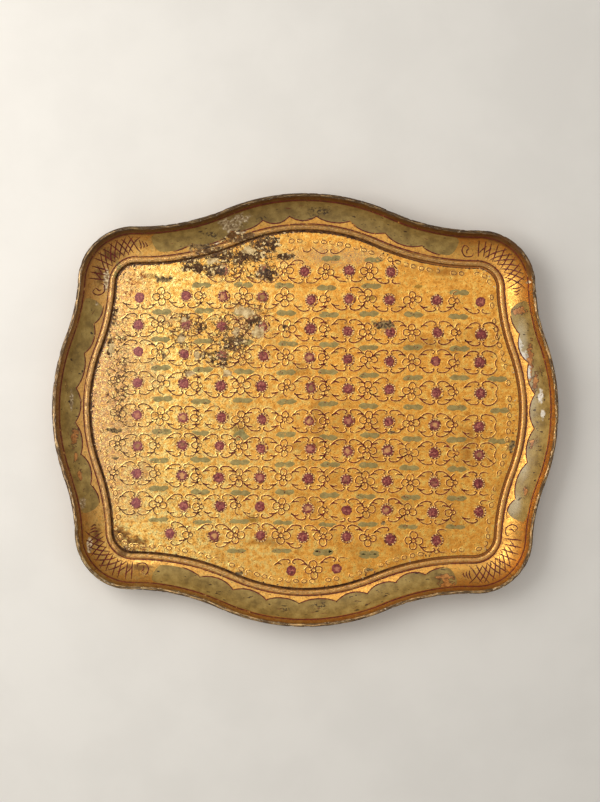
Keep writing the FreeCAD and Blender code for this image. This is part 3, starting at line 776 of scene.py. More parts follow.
def stroke(heap, surface, line, width, height=0.16 * MM, closed=False, taper=0.35, base=-SUNK):
    """A brush stroke: a low flat-topped strip along a line, its edges at the base height."""
    points, normals = surface(line)
    if closed:
        ahead = np.roll(points, -1, 0) - np.roll(points, 1, 0)
    else:
        ahead = np.gradient(points, axis=0)
    side = np.cross(normals, ahead)
    side /= np.linalg.norm(side, axis=1, keepdims=True) + 1e-12
    count = len(points)
    t = np.linspace(-1, 1, count)
    half = np.full(count, width / 2) if closed else width / 2 * (1 - (1 - taper) * np.abs(t) ** 3)
    half *= 1 + 0.18 * np.sin(np.arange(count) * 1.3 + hand.random() * 6)
    half = half[:, None]
    rows = [points + side * half * out + normals * lift
            for out, lift in ((1.0, base), (0.7, height), (-0.7, height), (-1.0, base))]
    faces = [(4 * i + k + 1, 4 * i + k, 4 * j + k, 4 * j + k + 1)
             for i, j in neighbours(count, closed) for k in range(3)]
    heap.add(np.stack(rows, 1), faces)


def capped_faces(rings, sides):
    """The faces between rings of points, and those from the last ring to the point in the middle."""
    inner = (rings - 1) * sides
    cap = [(inner + i, inner + j, inner + sides) for i, j in neighbours(sides)]
    return grid_faces(rings, sides, closed=True) + cap


def dome(heap, surface, centre, wide, deep, height, sides=14, rings=3, turn=0.0, ragged=0.06):
    """A low rounded drop of paint or gesso."""
    angles = circle(sides)
    edge = 1 + ragged * np.array([sway(1) for _ in angles])
    levels = np.linspace(1, 0, rings, endpoint=False)
    c, s = math.cos(turn), math.sin(turn)
    places, lifts, middle = [], [], []
    for level in levels:
        across, up = wide * np.cos(angles) * edge * level, deep * np.sin(angles) * edge * level
        places.append(np.stack((centre[0] + across * c - up * s, centre[1] + across * s + up * c), -1))
        lifts.append(np.full(sides, -SUNK if level == 1 else height * (1 - level**2) ** 0.6))
        middle.append(np.full(sides, 1 - level))
    places = np.vstack(places + [np.array([centre])])
    points, normals = surface(places)
    lifts = np.append(np.concatenate(lifts), height)
    middle = np.append(np.concatenate(middle), 1.0)
    heap.add(points + normals * lifts[:, None], capped_faces(rings, sides), middle)


# --- rails ---------------------------------------------------------------------------------------------


def sampled_arc(centre, start, end, step):
    """Points of an arc from start up to, but not including, end."""
    radius = np.linalg.norm(start - centre)
    first = direction(centre, start)
    sweep = (direction(centre, end) - first + math.pi) % (2 * math.pi) - math.pi
    count = max(2, math.ceil(abs(sweep) * radius / step))
    angles = first + sweep * np.arange(count) / count
    return centre + radius * np.stack((np.cos(angles), np.sin(angles)), -1)


def sampled_line(start, end, step):
    count = max(1, math.ceil(np.linalg.norm(end - start) / step))
    return start + (end - start) * (np.arange(count) / count)[:, None]


def rail_section():
    """The closed section as (inset, height), and how many of its points come before the rail's upper face."""
    rebate_root = np.array((REBATE_INSET, REBATE_HEIGHT))
    rebate_lip = np.array((RIDGE_END[0], REBATE_HEIGHT))
    heel = np.array((REBATE_INSET, 0.0))
    lip_top = LIP_CENTRE + np.array((0, LIP_RADIUS))
    outside = np.vstack((
        sampled_line(rebate_lip, rebate_root, 4 * MM),
        sampled_line(rebate_root, heel, 2 * MM),
        sampled_line(heel, FOOT, 2 * MM),
        sampled_arc(WALL_CENTRE, FOOT, LIP_OUTER, 1.6 * MM),
    ))
    face = np.vstack((
        sampled_arc(LIP_CENTRE, LIP_OUTER, lip_top, 0.45 * MM),
        sampled_arc(LIP_CENTRE, lip_top, LIP_INNER, 0.45 * MM),
        sampled_line(LIP_INNER, BAND_FOOT, 0.7 * MM),
        sampled_arc(COVE_CENTRE, BAND_FOOT, COVE_FOOT, 0.8 * MM),
        sampled_arc(RIDGE_CENTRE, COVE_FOOT, RIDGE_END, 0.45 * MM),
        sampled_line(RIDGE_END, rebate_lip, 0.9 * MM),
    ))
    return np.vstack((outside, face)), len(outside)


CHIP_SIZE, CHIP_DEPTH = 7 * MM, 0.4 * MM
LIP_DEPTH = 4 * MM
LIP_POINTS = 12  # points of the section below the lip's outer side that are worn as the lip is


def chip_depth(points):
    """How deep the lip is chipped at each point."""
    depths = []
    for p in points.reshape(-1, 3):
        if p[2] < TRAY_TOP - LIP_DEPTH:
            depths.append(0.0)
            continue
        coarse = noise.noise(Vector(p) / CHIP_SIZE)
        fine = noise.noise(Vector(p) / (0.3 * CHIP_SIZE))
        fade = min(1.0, (p[2] - TRAY_TOP + LIP_DEPTH) / (1 * MM))
        depths.append(fade * CHIP_DEPTH * max(0.0, min(1.0, 3 * (coarse - 0.18 + 0.25 * fine))))
    return np.array(depths).reshape(points.shape[:-1])


def make_rail(side, first, last, materials):
    """One rail from mitre to mitre: its section carried along the lip, uneven, with a chipped lip."""
    loop, split = rail_section()
    step = np.roll(loop, -1, 0) - np.roll(loop, 1, 0)
    step /= np.linalg.norm(step, axis=1, keepdims=True)
    columns = math.ceil((last - first) / (0.9 * MM)) + 1
    along = np.linspace(first, last, columns)[:, None] + np.zeros(len(loop))
    inset = np.zeros((columns, 1)) + loop[:, 0]
    plan, outward = outline(along, inset)
    height = np.zeros((columns, 1)) + loop[:, 1]
    points = np.concatenate((plan, height[..., None]), -1)
    # going round the loop, the way out of the wood is the tangent turned left: (inwards, up)
    lean, up = -step[:, 1], step[:, 0]
    normals = np.concatenate((-outward * lean[:, None], np.zeros((columns, 1, 1)) + up[:, None]), -1)
    depth = unevenness(points, RUBBED_SIZE, RUBBED_DEPTH) + chip_depth(points)
    depth[:, : split - LIP_POINTS] = 0
    points = points - normals * depth[..., None]
    ring = len(loop)
    ends = [tuple(range(ring))[::-1], tuple((columns - 1) * ring + k for k in range(ring))]
    faces = grid_faces(columns, ring, closed=True) + ends
    slots = [1 if k < split else 0 for k in range(ring)] * (columns - 1) + [1, 1]
    values = {"inset": inset, "along": along}
    rail = add_piece("gilded_rail_" + side, points, faces, materials, values, ["rail_" + side])
    rail.data.polygons.foreach_set("material_index", slots)
    return rail


def make_rails():
    materials = [rim_gold(), rim_wall()]
    make_rail("back", -MITRE, MITRE, materials)
    make_rail("right", MITRE, FRONT - MITRE, materials)
    make_rail("front", FRONT - MITRE, FRONT + MITRE, materials)
    make_rail("left", FRONT + MITRE, 4 * QUARTER - MITRE, materials)


# --- painted rim ---------------------------------------------------------------------------------------

Panel = namedtuple("Panel", "middle first last cusps")

# green panels along the lip, in mm from the middle of their rail: first end, last end, cusps of the scallops
PANELS = (
    Panel(BACK, -148, 144, (-114, -80, -46, -18, 9, 43, 81, 114)),
    Panel(RIGHT, -106, 104, (-79, -52, -19, 17, 52, 86)),
    Panel(FRONT, -146, 144, (-120, -95, -67, -34, 4, 37, 73, 104)),
    Panel(LEFT, -101, 104, (-78, -49, -16, 20, 56, 83)),
)
PANEL_TOP = 6.6 * MM
CUSP_INSET, LOBE_INSET = 18.0 * MM, 22.4 * MM
PANEL_ROUND = 7 * MM
LINE_WIDTH = 1.3 * MM


def scallop(panel, along):
    """Inset of the panel's lower edge: a hanging lobe between each two cusps."""
    marks = np.array((panel.first - 6, *panel.cusps, panel.last + 6)) * MM
    lobe = np.clip(np.searchsorted(marks, along) - 1, 0, len(marks) - 2)
    t = (along - marks[lobe]) / (marks[lobe + 1] - marks[lobe])
    depth = LOBE_INSET + 0.5 * MM * np.sin(lobe * 2.4)
    cusp = CUSP_INSET + 0.5 * MM * np.sin(lobe * 1.7)
    return cusp + (depth - cusp) * (1 - np.abs(2 * t - 1) ** 2.2)


PANEL_THICK, PANEL_ROWS = 0.09 * MM, 22


def make_green_panel(heap, panel):
    """A thin coat of paint on the cove, round at both ends."""
    first, last = panel.first * MM, panel.last * MM
    along = np.linspace(first, last, math.ceil((last - first) / (0.9 * MM)))
    edge = scallop(panel, along)
    to_end = np.minimum(along - first, last - along)
    round_off = np.sqrt(np.clip(1 - (1 - np.clip(to_end / PANEL_ROUND, 0, 1)) ** 2, 0, 1))
    top = PANEL_TOP + (1 - round_off) * 3 * MM
    edge = top + (edge - top) * np.maximum(round_off, 0.02)
    share = np.linspace(0, 1, PANEL_ROWS)
    inset = top[:, None] + (edge - top)[:, None] * share
    places = np.stack((panel.middle + along[:, None] + np.zeros(PANEL_ROWS), inset), -1)
    points, normals = on_rim(places)
    lift = np.full(inset.shape, PANEL_THICK)
    lift[:, 0] = lift[:, -1] = lift[0] = lift[-1] = -SUNK
    faces = [face[1:] + face[:1] for face in grid_faces(len(along), PANEL_ROWS)]
    heap.add(points + normals * lift[..., None], faces)


LINE_SWAY = 0.15 * MM


def long_line(heap, inset, width):
    """A line painted right round the rim, broken into strokes where the brush was lifted."""
    at, last = 0, 4 * QUARTER
    while at < last - 4 * MM:
        end = min(last, at + hand.uniform(50, 90) * MM)
        along = np.arange(at, end, 1.5 * MM)
        wave = LINE_SWAY * np.sin(along / (23 * MM) + hand.random() * 6)
        stroke(heap, on_rim, np.stack((along, inset + wave), -1), width, taper=0.6)
        at = end - 0.5 * MM


def outline_scallops(heap, panel):
    """The maroon line along a panel's lobes, each lobe one stroke that runs a little past its cusp."""
    for first, last in zip(panel.cusps, panel.cusps[1:]):
        along = np.linspace(first - 0.6, last + 0.3, 26) * MM
        edge = scallop(panel, np.clip(along, (first + 0.01) * MM, (last - 0.01) * MM)) + 0.2 * MM
        stroke(heap, on_rim, np.stack((panel.middle + along, edge), -1), LINE_WIDTH, taper=0.7)
    for end, way in ((panel.cusps[0], -1), (panel.cusps[-1], 1)):
        along = (end + way * np.linspace(0, 17, 14)) * MM
        edge = scallop(panel, along) + 0.2 * MM
        stroke(heap, on_rim, np.stack((panel.middle + along, edge), -1), LINE_WIDTH, taper=0.3)


def corner_lattice(heap, start):
    """The pen work on one corner, clockwise: a curled flourish, a crossed lattice and three last strokes."""

    def draw(*places):
        line = curve_through([(start + along * MM, inset * MM) for along, inset in places], 6)
        stroke(heap, on_rim, line, LINE_WIDTH)

    draw((9.5, 14.5), (5.5, 12.5), (3.8, 17), (7, 21.8), (12.5, 21.5), (13.5, 18.5))
    draw((9.5, 14.5), (7.8, 17), (8.4, 19.5))
    for i in range(10):
        at = 17.5 + 8.1 * i + sway(0.8)
        lean = 0.6 + 0.6 * i
        low, high = 8.0 + sway(0.8), 23.0 + hand.uniform(-1.2, 0.8)
        draw((at - lean, low), (at, 15.5), (at + lean, high))
    for i in range(9):
        at = 23 + 8.1 * i + sway(0.8)
        reach, low, high = (4, 12, 18.5) if i < 2 else (10, 8.2, 22.8)
        draw((at + reach, low), (at, (low + high) / 2), (at - reach, high + hand.uniform(-0.8, 0.6)))
    for i in range(3):
        draw((95.5 + 2.6 * i, 11 + i), (97 + 2.6 * i, 15.5), (96.5 + 2.6 * i, 19 - i))


def scribble(heap, panel):
    """Short dark scratches in the green paint."""
    for _ in range(7):
        at = hand.uniform(panel.first + 14, panel.last - 14)
        across = hand.uniform(9, 16)
        run = [(at + step * 1.8, across + sway(0.7)) for step in range(hand.randint(2, 5))]
        places = curve_through([(panel.middle + a * MM, o * MM) for a, o in run], 4)
        stroke(heap, on_rim, places, hand.uniform(0.4, 0.8) * MM, taper=0.1)


def make_rim_paint():
    greens, lines = Heap(), Heap()
    for panel in PANELS:
        make_green_panel(greens, panel)
        outline_scallops(lines, panel)
        scribble(lines, panel)
    greens.make("green_panels", green_panel_paint(), "gilt_rim")
    long_line(lines, BAND_FOOT[0] + 0.4 * MM, 2.0 * MM)
    long_line(lines, COVE_FOOT[0] - 0.5 * MM, LINE_WIDTH)
    for panel in PANELS:
        corner_lattice(lines, panel.middle + panel.last * MM)
    lines.make("rim_lines", paint("line_maroon_rim", (112, 42, 32), (74, 28, 22)), "gilt_rim")


# --- the field's pattern -------------------------------------------------------------------------------

COLUMNS = (-155, -112, -78, -40, 4, 39, 77, 120, 161)
TOP_COLUMNS, LOW_COLUMNS, LAST_COLUMNS = (-77, -40, -3, 40, 78), (-123, -82, -40, -2, 40, 80, 123), (-12, 31)
BERRY, LEAF_DROP = 5.0, 14.2
SCROLL = ((16, 4.4), (13.2, 7), (9.7, 9.7), (5.6, 10.6), (2.5, 9.9), (1.4, 8.2), (2.3, 6.9), (3.2, 7.5))
TWIG = ((15, 5.3), (12, 6.4), (9.8, 6.4), (8.2, 6.0))
BRACE = ((15.9, 4.0), (15.1, 6.8), (12.2, 9.6), (8.5, 10.9), (5.2, 11), (2.6, 9.9), (1.5, 8.3), (2.4, 7.0),
         (3.2, 7.4))
BRACE_MIDDLE = ((15.9, 4.0), (14.8, 2.2), (14.4, 0), (14.8, -2.2), (15.9, -4.0))
PETAL = ((-0.9, 1.9), (-2.9, 3.2), (-3.3, 5.8), (-1.8, 7.9), (0, 8.4), (1.8, 7.9), (3.3, 5.8), (2.9, 3.2),
         (0.9, 1.9))
LEAF = ((9.7, 0.3), (8.0, 1.9), (5.2, 2.8), (2.6, 2.5), (0.5, 1.9), (-1.8, 2.5), (-4.6, 2.9), (-7.6, 2.0),
        (-9.7, -0.3), (-8.0, -1.9), (-5.2, -2.7), (-2.6, -2.5), (-0.3, -1.9), (2.2, -2.4), (4.8, -2.7),
        (7.8, -1.7))
BIG_LEAF = ((9, -4.5), (7.5, -1.5), (4, 1.5), (1.5, 5.5), (-0.5, 7), (-3, 4.5), (-6, 1.5), (-9, -1.5),
            (-9.5, -4.5), (-6, -6), (0, -5.2), (5, -6))
BIG_LEAF_PLACE = (-61, -22)
LONE_LEAVES = ((22, 140), (62, 139), (-97, 114), (141, 110), (177, 30.5), (180, 1.5), (178, -27),
               (18, -132), (61, -134))

LOOSE_STROKES = (((-4, 150), (-3.6, 147), (0, 145.6), (3, 147.4), (2.4, 149.6)),
                 ((-19, 148.5), (-15.5, 146.6), (-12, 149)))

Row = namedtuple("Row", "columns left right above below ringed closed")

# rows of berries: heights at x = -155 and x = 161, shares of the scrolls above and below that are drawn,
# the share of berries with a ring of pearls, and whether the row's right end is closed by a brace
ROWS = (
    Row(TOP_COLUMNS, 127.5, 129, 0.3, 1, 0.9, False), Row(COLUMNS, 103, 101.5, 0.15, 1, 0.7, False),
    Row(COLUMNS, 77, 72, 1, 1, 0.9, True), Row(COLUMNS, 51, 45, 1, 1, 0.9, True),
    Row(COLUMNS, 22.5, 17.5, 1, 1, 1, True), Row(COLUMNS, -7, -12.5, 1, 1, 1, True),
    Row(COLUMNS, -34, -39, 1, 1, 1, True), Row(COLUMNS, -61.5, -66.5, 1, 1, 1, False),
    Row(COLUMNS, -89, -93, 1, 0.9, 0.95, False), Row(LOW_COLUMNS, -116, -118.5, 0.9, 0.4, 1, False),
    Row(LAST_COLUMNS, -148, -147, 1, 0, 0, False),
)


def berries_of(row):
    """The middles of a row's berries, with the unevenness of handwork."""
    slope = (row.right - row.left) / (COLUMNS[-1] - COLUMNS[0])
    return [(x + sway(1), row.left + slope * (x - COLUMNS[0]) + sway(1.2))
            for x in row.columns]


def moved(places, centre, turn=0.0, flip=(1, 1), shake=0.25, scale=1.0):
    """A motif's points, in mm about its middle, put in place on the field in metres."""
    c, s = math.cos(turn), math.sin(turn)
    out = []
    for x, y in places:
        x = x * flip[0] * scale + hand.uniform(-shake, shake)
        y = y * flip[1] * scale + hand.uniform(-shake, shake)
        out.append(((centre[0] + x * c - y * s) * MM, (centre[1] + x * s + y * c) * MM))
    return np.array(out)


def inside_field(x, y, margin):
    """Is this place, in mm, on the field and at least that far in from the groove?"""
    along = np.linspace(0, 4 * QUARTER, 720)
    edge, _ = outline(along, FIELD_INSET)
    gap = edge - np.array((x, y)) * MM
    nearest = np.argmin((gap**2).sum(1))
    _, outward = outline(along[nearest], FIELD_INSET)
    return gap[nearest] @ outward > margin * MM


PEARL_WIDE, PEARL_DEEP, PEARL_RISE = 0.92 * MM, 0.84 * MM, 0.46 * MM
PEARLS_GONE, BEADS_GONE = 0.15, 0.14  # shares of the pearls and of the border beads that are worn off


def draw_berry(discs, pearls, halos, centre, ringed):
    x, y = centre
    ring = hand.uniform(5.0, 5.4)
    slip = (hand.uniform(-0.4, 1.2), hand.uniform(-0.6, 0.7))
    dome(discs, on_field, (x * MM, y * MM), BERRY * MM * hand.uniform(0.94, 1.06),
         BERRY * MM * hand.uniform(0.94, 1.04), 0.3 * MM, 28, 5, hand.random() * 3, 0.1)
    if hand.random() > ringed:
        return
    angles = circle(26)
    halo = np.stack((x + slip[0] + ring * np.cos(angles), y + slip[1] + ring * np.sin(angles)), -1) * MM
    stroke(halos, on_field, halo, 1.8 * MM, 0.14 * MM, closed=True)
    count = hand.randint(12, 15)
    for i in range(count):
        if hand.random() < PEARLS_GONE:
            continue
        angle = 2 * math.pi * (i + sway(0.2)) / count
        spot = ((x + slip[0] + ring * math.cos(angle)) * MM, (y + slip[1] + ring * math.sin(angle)) * MM)
        dome(pearls, on_field, spot, PEARL_WIDE, PEARL_DEEP, PEARL_RISE, 8, 2, 0, 0.1)


LIP_SPREAD = 2.3  # width of the gold pressed up about a line, in widths of the line
LIP_RISE, LINE_BASE, LINE_TOP = 0.12 * MM, 0.13 * MM, 0.17 * MM


def pressed(lines, lips, line, width, closed=False, taper=0.35):
    """A painted line pressed into the gold with a tool, which raises a soft lip of gold on both its sides."""
    stroke(lips, on_field, line, width * LIP_SPREAD, LIP_RISE, closed, 0.8)
    stroke(lines, on_field, line, width, LINE_TOP, closed, taper, LINE_BASE)


def draw_scrolls(lines, lips, centre, row, last):
    """Up to four scrolls about a berry, each with a twig. A brace may close the row after its last berry."""
    for flip in ((1, 1), (-1, 1), (-1, -1), (1, -1)):
        if hand.random() > (row.above if flip[1] > 0 else row.below) * 0.97:
            continue
        outer = last and flip[0] > 0
        if outer and not row.closed:
            shape = moved(SCROLL[2:], centre, 0, flip)
        else:
            shape = moved(BRACE if outer else SCROLL, centre, 0, flip)
        pressed(lines, lips, curve_through(shape), hand.uniform(0.9, 1.25) * MM)
        if not outer:
            twig = moved(TWIG, centre, 0, flip, 0.4)
            pressed(lines, lips, curve_through(twig), hand.uniform(1.0, 1.4) * MM, taper=0.15)
        elif row.closed:
            pressed(lines, lips, moved(((10, 5.8), (11.2, 5.6), (12.4, 5.0)), centre, 0, flip), 1.0 * MM)
    if last and row.closed:
        pressed(lines, lips, curve_through(moved(BRACE_MIDDLE, centre)), 1.0 * MM)


def draw_flower(lines, lips, centre, full, scale=1.0):
    """A flower of four petals. A crowded one keeps its left petal and the halves of two beside it."""
    turn = sway(0.12)
    angles = circle(12)
    ring = [(1.85 * math.cos(a), 1.85 * math.sin(a)) for a in angles]
    pressed(lines, lips, moved(ring, centre, 0, (1, 1), 0.12, scale), 0.8 * MM, closed=True)
    for quarter_turns, side in enumerate(("up", "left", "down", "right")):
        if side == "right" and not full:
            continue
        angle = turn + quarter_turns * math.pi / 2
        size = scale * hand.uniform(0.92, 1.06)
        petal = curve_through(moved(PETAL, centre, angle, (1, 1), 0.3, size), 3)
        half = len(petal) // 2
        if side == "up" and (not full or hand.random() < 0.1):
            petal = petal[: half + 2]
        elif side == "down" and (not full or hand.random() < 0.1):
            petal = petal[half - 2:]
        pressed(lines, lips, petal, hand.uniform(0.85, 1.05) * MM)
        vein = moved(((0, 2.0), (0.1, 3.1), (0, 4.0)), centre, angle, (1, 1), 0.15, size)
        pressed(lines, lips, curve_through(vein, 2), 0.95 * MM, taper=0.1)


def draw_leaf(leaves, marks, centre, outline_points=LEAF, squash=1.0):
    """A flat leaf. Some have dark flakes on them."""
    shape = [(x, y * squash) for x, y in outline_points]
    edge = curve_through(moved(shape, centre, hand.uniform(-0.05, 0.06), (1, 1), 0.4), 3, closed=True)
    middle = edge.mean(0)
    rings = [middle + (edge - middle) * share for share in (1.0, 0.9, 0.55)]
    count = len(edge)
    points, normals = on_field(np.vstack(rings + [middle[None]]))
    lift = np.concatenate((np.full(count, -SUNK), np.full(2 * count, 0.07 * MM), [0.08 * MM]))
    leaves.add(points + normals * lift[:, None], capped_faces(len(rings), count))
    if hand.random() < 0.5:
        lobe = hand.choice((-5, -2, 4))
        for _ in range(hand.randint(2, 5)):
            spot = ((centre[0] + lobe + sway(2.5)) * MM, (centre[1] + sway(1.6)) * MM)
            wide = hand.uniform(0.5, 1.5) * MM
            dome(marks, on_field, spot, wide, 0.5 * wide, 0.14 * MM, 9, 2, sway(1), 0.4)


BEAD_INSET = 37.6  # at the corners, in mm; what is added at the middle of each rail follows
BEAD_BOWS = ((BACK, 3.5), (4 * QUARTER, 3.5), (RIGHT, 3.8), (FRONT, 1.2), (LEFT, 4.0))
BEAD_BOW_LENGTH = 70 * MM


def bead_inset(along):
    """How far in the row of beads runs: farther from the groove in the middle of each rail."""
    inset = 0
    for middle, far in BEAD_BOWS:
        inset += far * math.exp(-((along - middle) / BEAD_BOW_LENGTH) ** 2)
    return (BEAD_INSET + inset) * MM


def draw_border(outlines, beads):
    """A row of beads inside the groove, clockwise from the back to the left, many half rubbed away."""
    at = BACK - 28 * MM
    while at < LEFT - 30 * MM:
        inset = bead_inset(at)
        at += hand.uniform(7.2, 7.9) * MM * stretch_at(at, inset)
        if hand.random() < BEADS_GONE:
            continue
        (spot,), (out,) = outline([at], inset)
        turn = math.atan2(out[1], out[0]) + math.pi / 2 + sway(0.2)
        wide, deep = hand.uniform(2.2, 2.6) * MM, hand.uniform(1.5, 1.9) * MM
        angles = circle(18)
        c, s = math.cos(turn), math.sin(turn)
        ring = [(spot[0] + wide * math.cos(a) * c - deep * math.sin(a) * s,
                 spot[1] + wide * math.cos(a) * s + deep * math.sin(a) * c) for a in angles]
        share = hand.choice((18, 18, 18, 14, 11))
        shift = hand.randrange(18)
        part = np.array((ring + ring)[shift:shift + share])
        pressed(outlines, beads, part, 0.85 * MM, share == 18)
        dome(beads, on_field, spot, wide * 0.7, deep * 0.7, 0.16 * MM, 14, 3, turn, 0.04)


def draw_groove_line(grime):
    """The dark line along the field's edge: thin at the front right, broad and ragged at the back left, where
    its breadth is painted shade.
    """
    at = 0.0
    while at < 4 * QUARTER:
        along = at + np.arange(0, hand.uniform(25, 60) * MM, 1.1 * MM)
        # painted shade: the line widens towards the back left
        heavy = (0.5 + 0.5 * np.cos(2 * math.pi * (along / (4 * QUARTER) - 0.9))) ** 1.5
        ragged = np.array([sway(1) for _ in along])
        width = (0.4 + heavy * (0.7 + 0.5 * ragged)) * MM
        places, _ = outline(along, FIELD_INSET + 0.1 * MM + width / 2)
        stroke(grime, on_field, places, width, 0.07 * MM, taper=0.9)
        at = along[-1] + 0.4 * MM


FLECK_TRIES = 1100


def draw_groove_flecks(flecks, pale_flecks):
    """Flakes of ground and gesso where the field's edge is rubbed, most of them at the back left."""
    worst = (3.15 * QUARTER, 3.55 * QUARTER, 3.85 * QUARTER)
    for _ in range(FLECK_TRIES):
        along = hand.uniform(0, 4 * QUARTER)
        inset = 32.6 * MM + hand.expovariate(1 / 1.6) * MM
        gap = min(abs(along - at) for at in worst) / QUARTER
        if hand.random() > 0.12 + 0.9 * math.exp(-6 * gap):
            continue
        (spot,), _ = outline([along], inset)
        heap = pale_flecks if hand.random() < 0.4 else flecks
        wide = hand.uniform(0.4, 1.6) * MM
        deep = wide * hand.uniform(0.4, 0.8)
        dome(heap, on_field, spot, wide, deep, 0.1 * MM, 8, 2, hand.uniform(0, 3), 0.35)


def stretch_at(along, inset):
    """How much longer the lip is than the line at that inset, near one place."""
    here, _ = outline([along, along + 1 * MM], inset)
    return 1 * MM / max(np.linalg.norm(here[1] - here[0]), 0.15 * MM)


DOT_RISE = 13.5  # from a berry up to the dot above it
WIDE_GAP, CROWDED = 36.5, 100  # a flower is whole only in a gap this wide, and left of this place


def draw_row(heaps, row):
    """One row: its berries with scrolls about them, the flowers between them and the leaves under these."""
    berries = berries_of(row)
    for i, berry in enumerate(berries):
        draw_berry(heaps["discs"], heaps["pearls"], heaps["halos"], berry, row.ringed)
        draw_scrolls(heaps["lines"], heaps["lips"], berry, row, i == len(berries) - 1)
        if inside_field(berry[0], berry[1] + DOT_RISE, 10):
            spot = ((berry[0] + sway(1)) * MM, (berry[1] + DOT_RISE + sway(1)) * MM)
            dome(heaps["dots"], on_field, spot, 0.5 * MM, 0.55 * MM, 0.12 * MM, 8, 2)
    for left, right in zip(berries, berries[1:]):
        middle = ((left[0] + right[0]) / 2 + hand.uniform(-2, 0.5), (left[1] + right[1]) / 2 + sway(1))
        full = right[0] - left[0] > WIDE_GAP and left[0] < CROWDED and hand.random() < 0.9
        draw_flower(heaps["lines"], heaps["lips"], middle, full, hand.uniform(0.94, 1.04))
        below = (middle[0] + hand.uniform(0, 2), middle[1] - LEAF_DROP + sway(0.8))
        if inside_field(*below, 16):
            shape = BIG_LEAF if math.dist(below, BIG_LEAF_PLACE) < 8 else LEAF
            draw_leaf(heaps["leaves"], heaps["dots"], below, shape, 0.8 if below[1] < -100 else 1.0)


def draw_extras(heaps):
    """What lies outside the rows' own rhythm: cut-off motifs at the edges and leaves beside the rows."""
    lines, lips = heaps["lines"], heaps["lips"]
    for flip in ((-1, -1), (1, -1)):
        pressed(lines, lips, curve_through(moved(SCROLL, (20, 155.3), 0, flip)), 1.0 * MM)
    for shape in LOOSE_STROKES:
        pressed(lines, lips, curve_through(moved(shape, (0, 0))), 1.0 * MM)
    for height, full in ((25, False), (-5, True), (-33, True), (-60, False)):
        draw_flower(lines, lips, (-173, height), full, 0.9)
    pressed(lines, lips, moved(((7, -41), (11, -44.4), (15, -47.6)), (160, 0), 0, (1, 1), 0.1), 0.9 * MM)
    for place in LONE_LEAVES:
        draw_leaf(heaps["leaves"], heaps["dots"], place)


def make_field_pattern():
    names = "discs pearls halos lines lips leaves dots outlines beads flecks pale_flecks grime"
    heaps = {name: Heap() for name in names.split()}
    for row in ROWS:
        draw_row(heaps, row)
    draw_extras(heaps)
    draw_border(heaps["outlines"], heaps["beads"])
    draw_groove_flecks(heaps["flecks"], heaps["pale_flecks"])
    draw_groove_line(heaps["grime"])
    maroon, bright = line_paint(), bright_gold()
    made = (
        ("discs", "berries", disc_paint()),
        ("pearls", "berry_pearls", paint("pearl_gold", (250, 214, 146), (214, 164, 96), 0.05)),
        ("halos", "berry_rings", paint("ring_maroon", (122, 58, 38), (84, 38, 28), 0.1)),
        ("lines", "scroll_and_flower_lines", maroon),
        ("lips", "pressed_gold", bright),
        ("leaves", "leaves", paint("leaf_green", (140, 132, 84), (110, 104, 62), 0.0, 0.15)),
        ("dots", "spots", maroon),
        ("outlines", "bead_outlines", paint("bead_brown", (146, 92, 46), (102, 58, 30), 0.08)),
        ("beads", "border_beads", bright),
        ("flecks", "edge_flecks", paint("fleck_brown", (104, 70, 42), (60, 38, 24), -0.1)),
        ("pale_flecks", "edge_gesso", paint("fleck_gesso", (222, 192, 142), (176, 136, 92), -0.1)),
        ("grime", "groove_grime_and_shade", paint("grime_and_shade_brown", (96, 60, 34), (60, 38, 24), -0.05)),
    )
    for heap, name, painted in made:
        heaps[heap].make(name, painted, "gilt_field")


# --- the frame's own parts -----------------------------------------------------------------------------


def bare_wood():
    made, g = material("bare_wood")
    rings = g.noise(2.2, 6.0, 0.6, (0.08, 1.0, 1.0), 0.8)
    colour = g.ramp(rings, (0.35, (150, 108, 66)), (0.52, (190, 148, 98)), (0.7, (212, 174, 124)))
    g.finish(colour, g.grade(rings, 0.3, 0.7, 0.75, 0.55), 0.0, rings, 0.2)
    return made


def pin_steel():
    made, g = material("pin_steel")
    rust = g.grade(g.noise(0.9, 5.0, 0.7), 0.42, 0.62)
    colour = g.mix(rust, (132, 128, 120), (104, 58, 32))
    rough = g.grade(rust, 0.0, 1.0, 0.35, 0.8)
    g.finish(colour, rough, g.grade(rust, 0.0, 1.0, 1.0, 0.1), rust, 0.1)
    return made


def dress_nodes():
    """Gives each CAD node its material."""
    wood = bare_wood()
    dressing = {"panel_pins": pin_steel(), "base_panel": field_gold()}
    for name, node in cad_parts.items():
        node.data.materials.clear()
        node.data.materials.append(dressing.get(name, wood))


# --- floor, light and camera ---------------------------------------------------------------------------


FLOOR_REACH, FLOOR_GAP = 20.0, 0.4 * MM


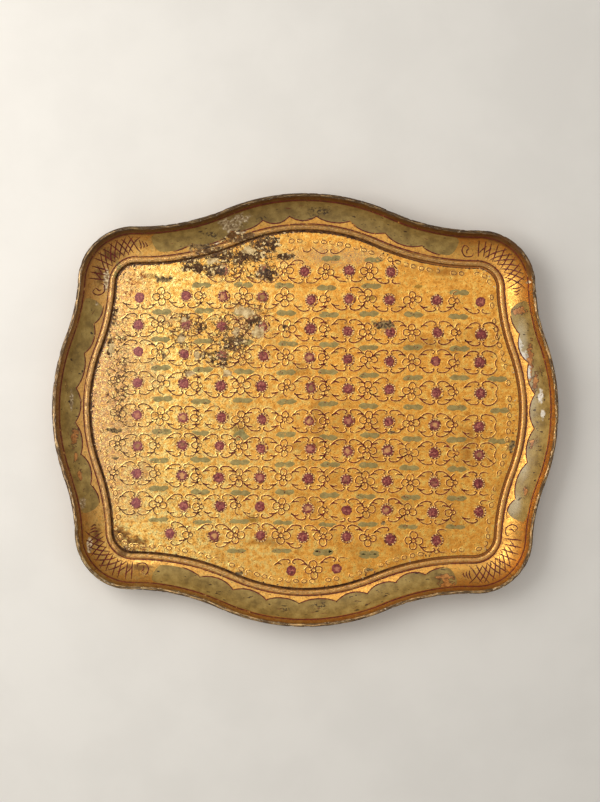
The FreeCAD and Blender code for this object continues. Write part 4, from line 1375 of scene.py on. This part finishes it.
def make_floor():
    made, g = material("floor_plaster")
    tone = g.mix(g.grade(g.noise(90, 4.0), 0.35, 0.65), (217, 214, 208), (221, 218, 212))
    g.finish(tone, 0.8, 0.0, g.noise(5), 0.05)
    line = np.linspace(-FLOOR_REACH, FLOOR_REACH, 9)
    points = [(x, y, -FLOOR_GAP) for y in line for x in line]
    mesh = bpy.data.meshes.new("floor")
    mesh.from_pydata(points, [], grid_faces(9, 9))
    mesh.materials.append(made)
    floor = bpy.data.objects.new("floor", mesh)
    bpy.context.scene.collection.objects.link(floor)


def add_light(name, spot, width, depth, power, colour):
    data = bpy.data.lights.new(name, "AREA")
    data.shape, data.size, data.size_y = "RECTANGLE", width, depth
    data.energy, data.color = power, colour
    light = bpy.data.objects.new(name, data)
    light.location = spot
    light.rotation_euler = (-Vector(spot)).to_track_quat("-Z", "Y").to_euler()
    bpy.context.scene.collection.objects.link(light)


def make_light():
    world = bpy.data.worlds.new("studio")
    world.use_nodes = True
    background = world.node_tree.nodes["Background"]
    background.inputs["Color"].default_value = (1.0, 0.975, 0.94, 1)
    background.inputs["Strength"].default_value = 0.45
    bpy.context.scene.world = world
    add_light("key", (-0.72, 0.32, 0.80), 0.8, 0.8, 9.2, (1.0, 0.97, 0.93))
    add_light("fill", (0.3, 0.6, 1.4), 1.2, 1.2, 2.6, (1.0, 0.98, 0.95))
    add_light("bounce", (-0.6, -0.75, 1.1), 1.0, 1.0, 2.4, (1.0, 0.95, 0.88))
    bpy.context.scene.view_settings.view_transform = "Standard"


LENS, CAMERA_RISE, CAMERA_TURN = 61.9, 1.25, math.radians(0.69)
CAMERA_SHIFT = (-4.9 * MM, 8.1 * MM)


def make_camera():
    """Looks straight down on the tray, turned a little, with the tray just right of and below the middle."""
    data = bpy.data.cameras.new("camera")
    data.lens = LENS
    camera = bpy.data.objects.new("camera", data)
    camera.location = (*CAMERA_SHIFT, TRAY_TOP + CAMERA_RISE)
    camera.rotation_euler = (0, 0, CAMERA_TURN)
    bpy.context.scene.collection.objects.link(camera)
    bpy.context.scene.camera = camera


make_camera()
make_floor()
make_light()
dress_nodes()
make_rails()
make_rim_paint()
make_field_pattern()
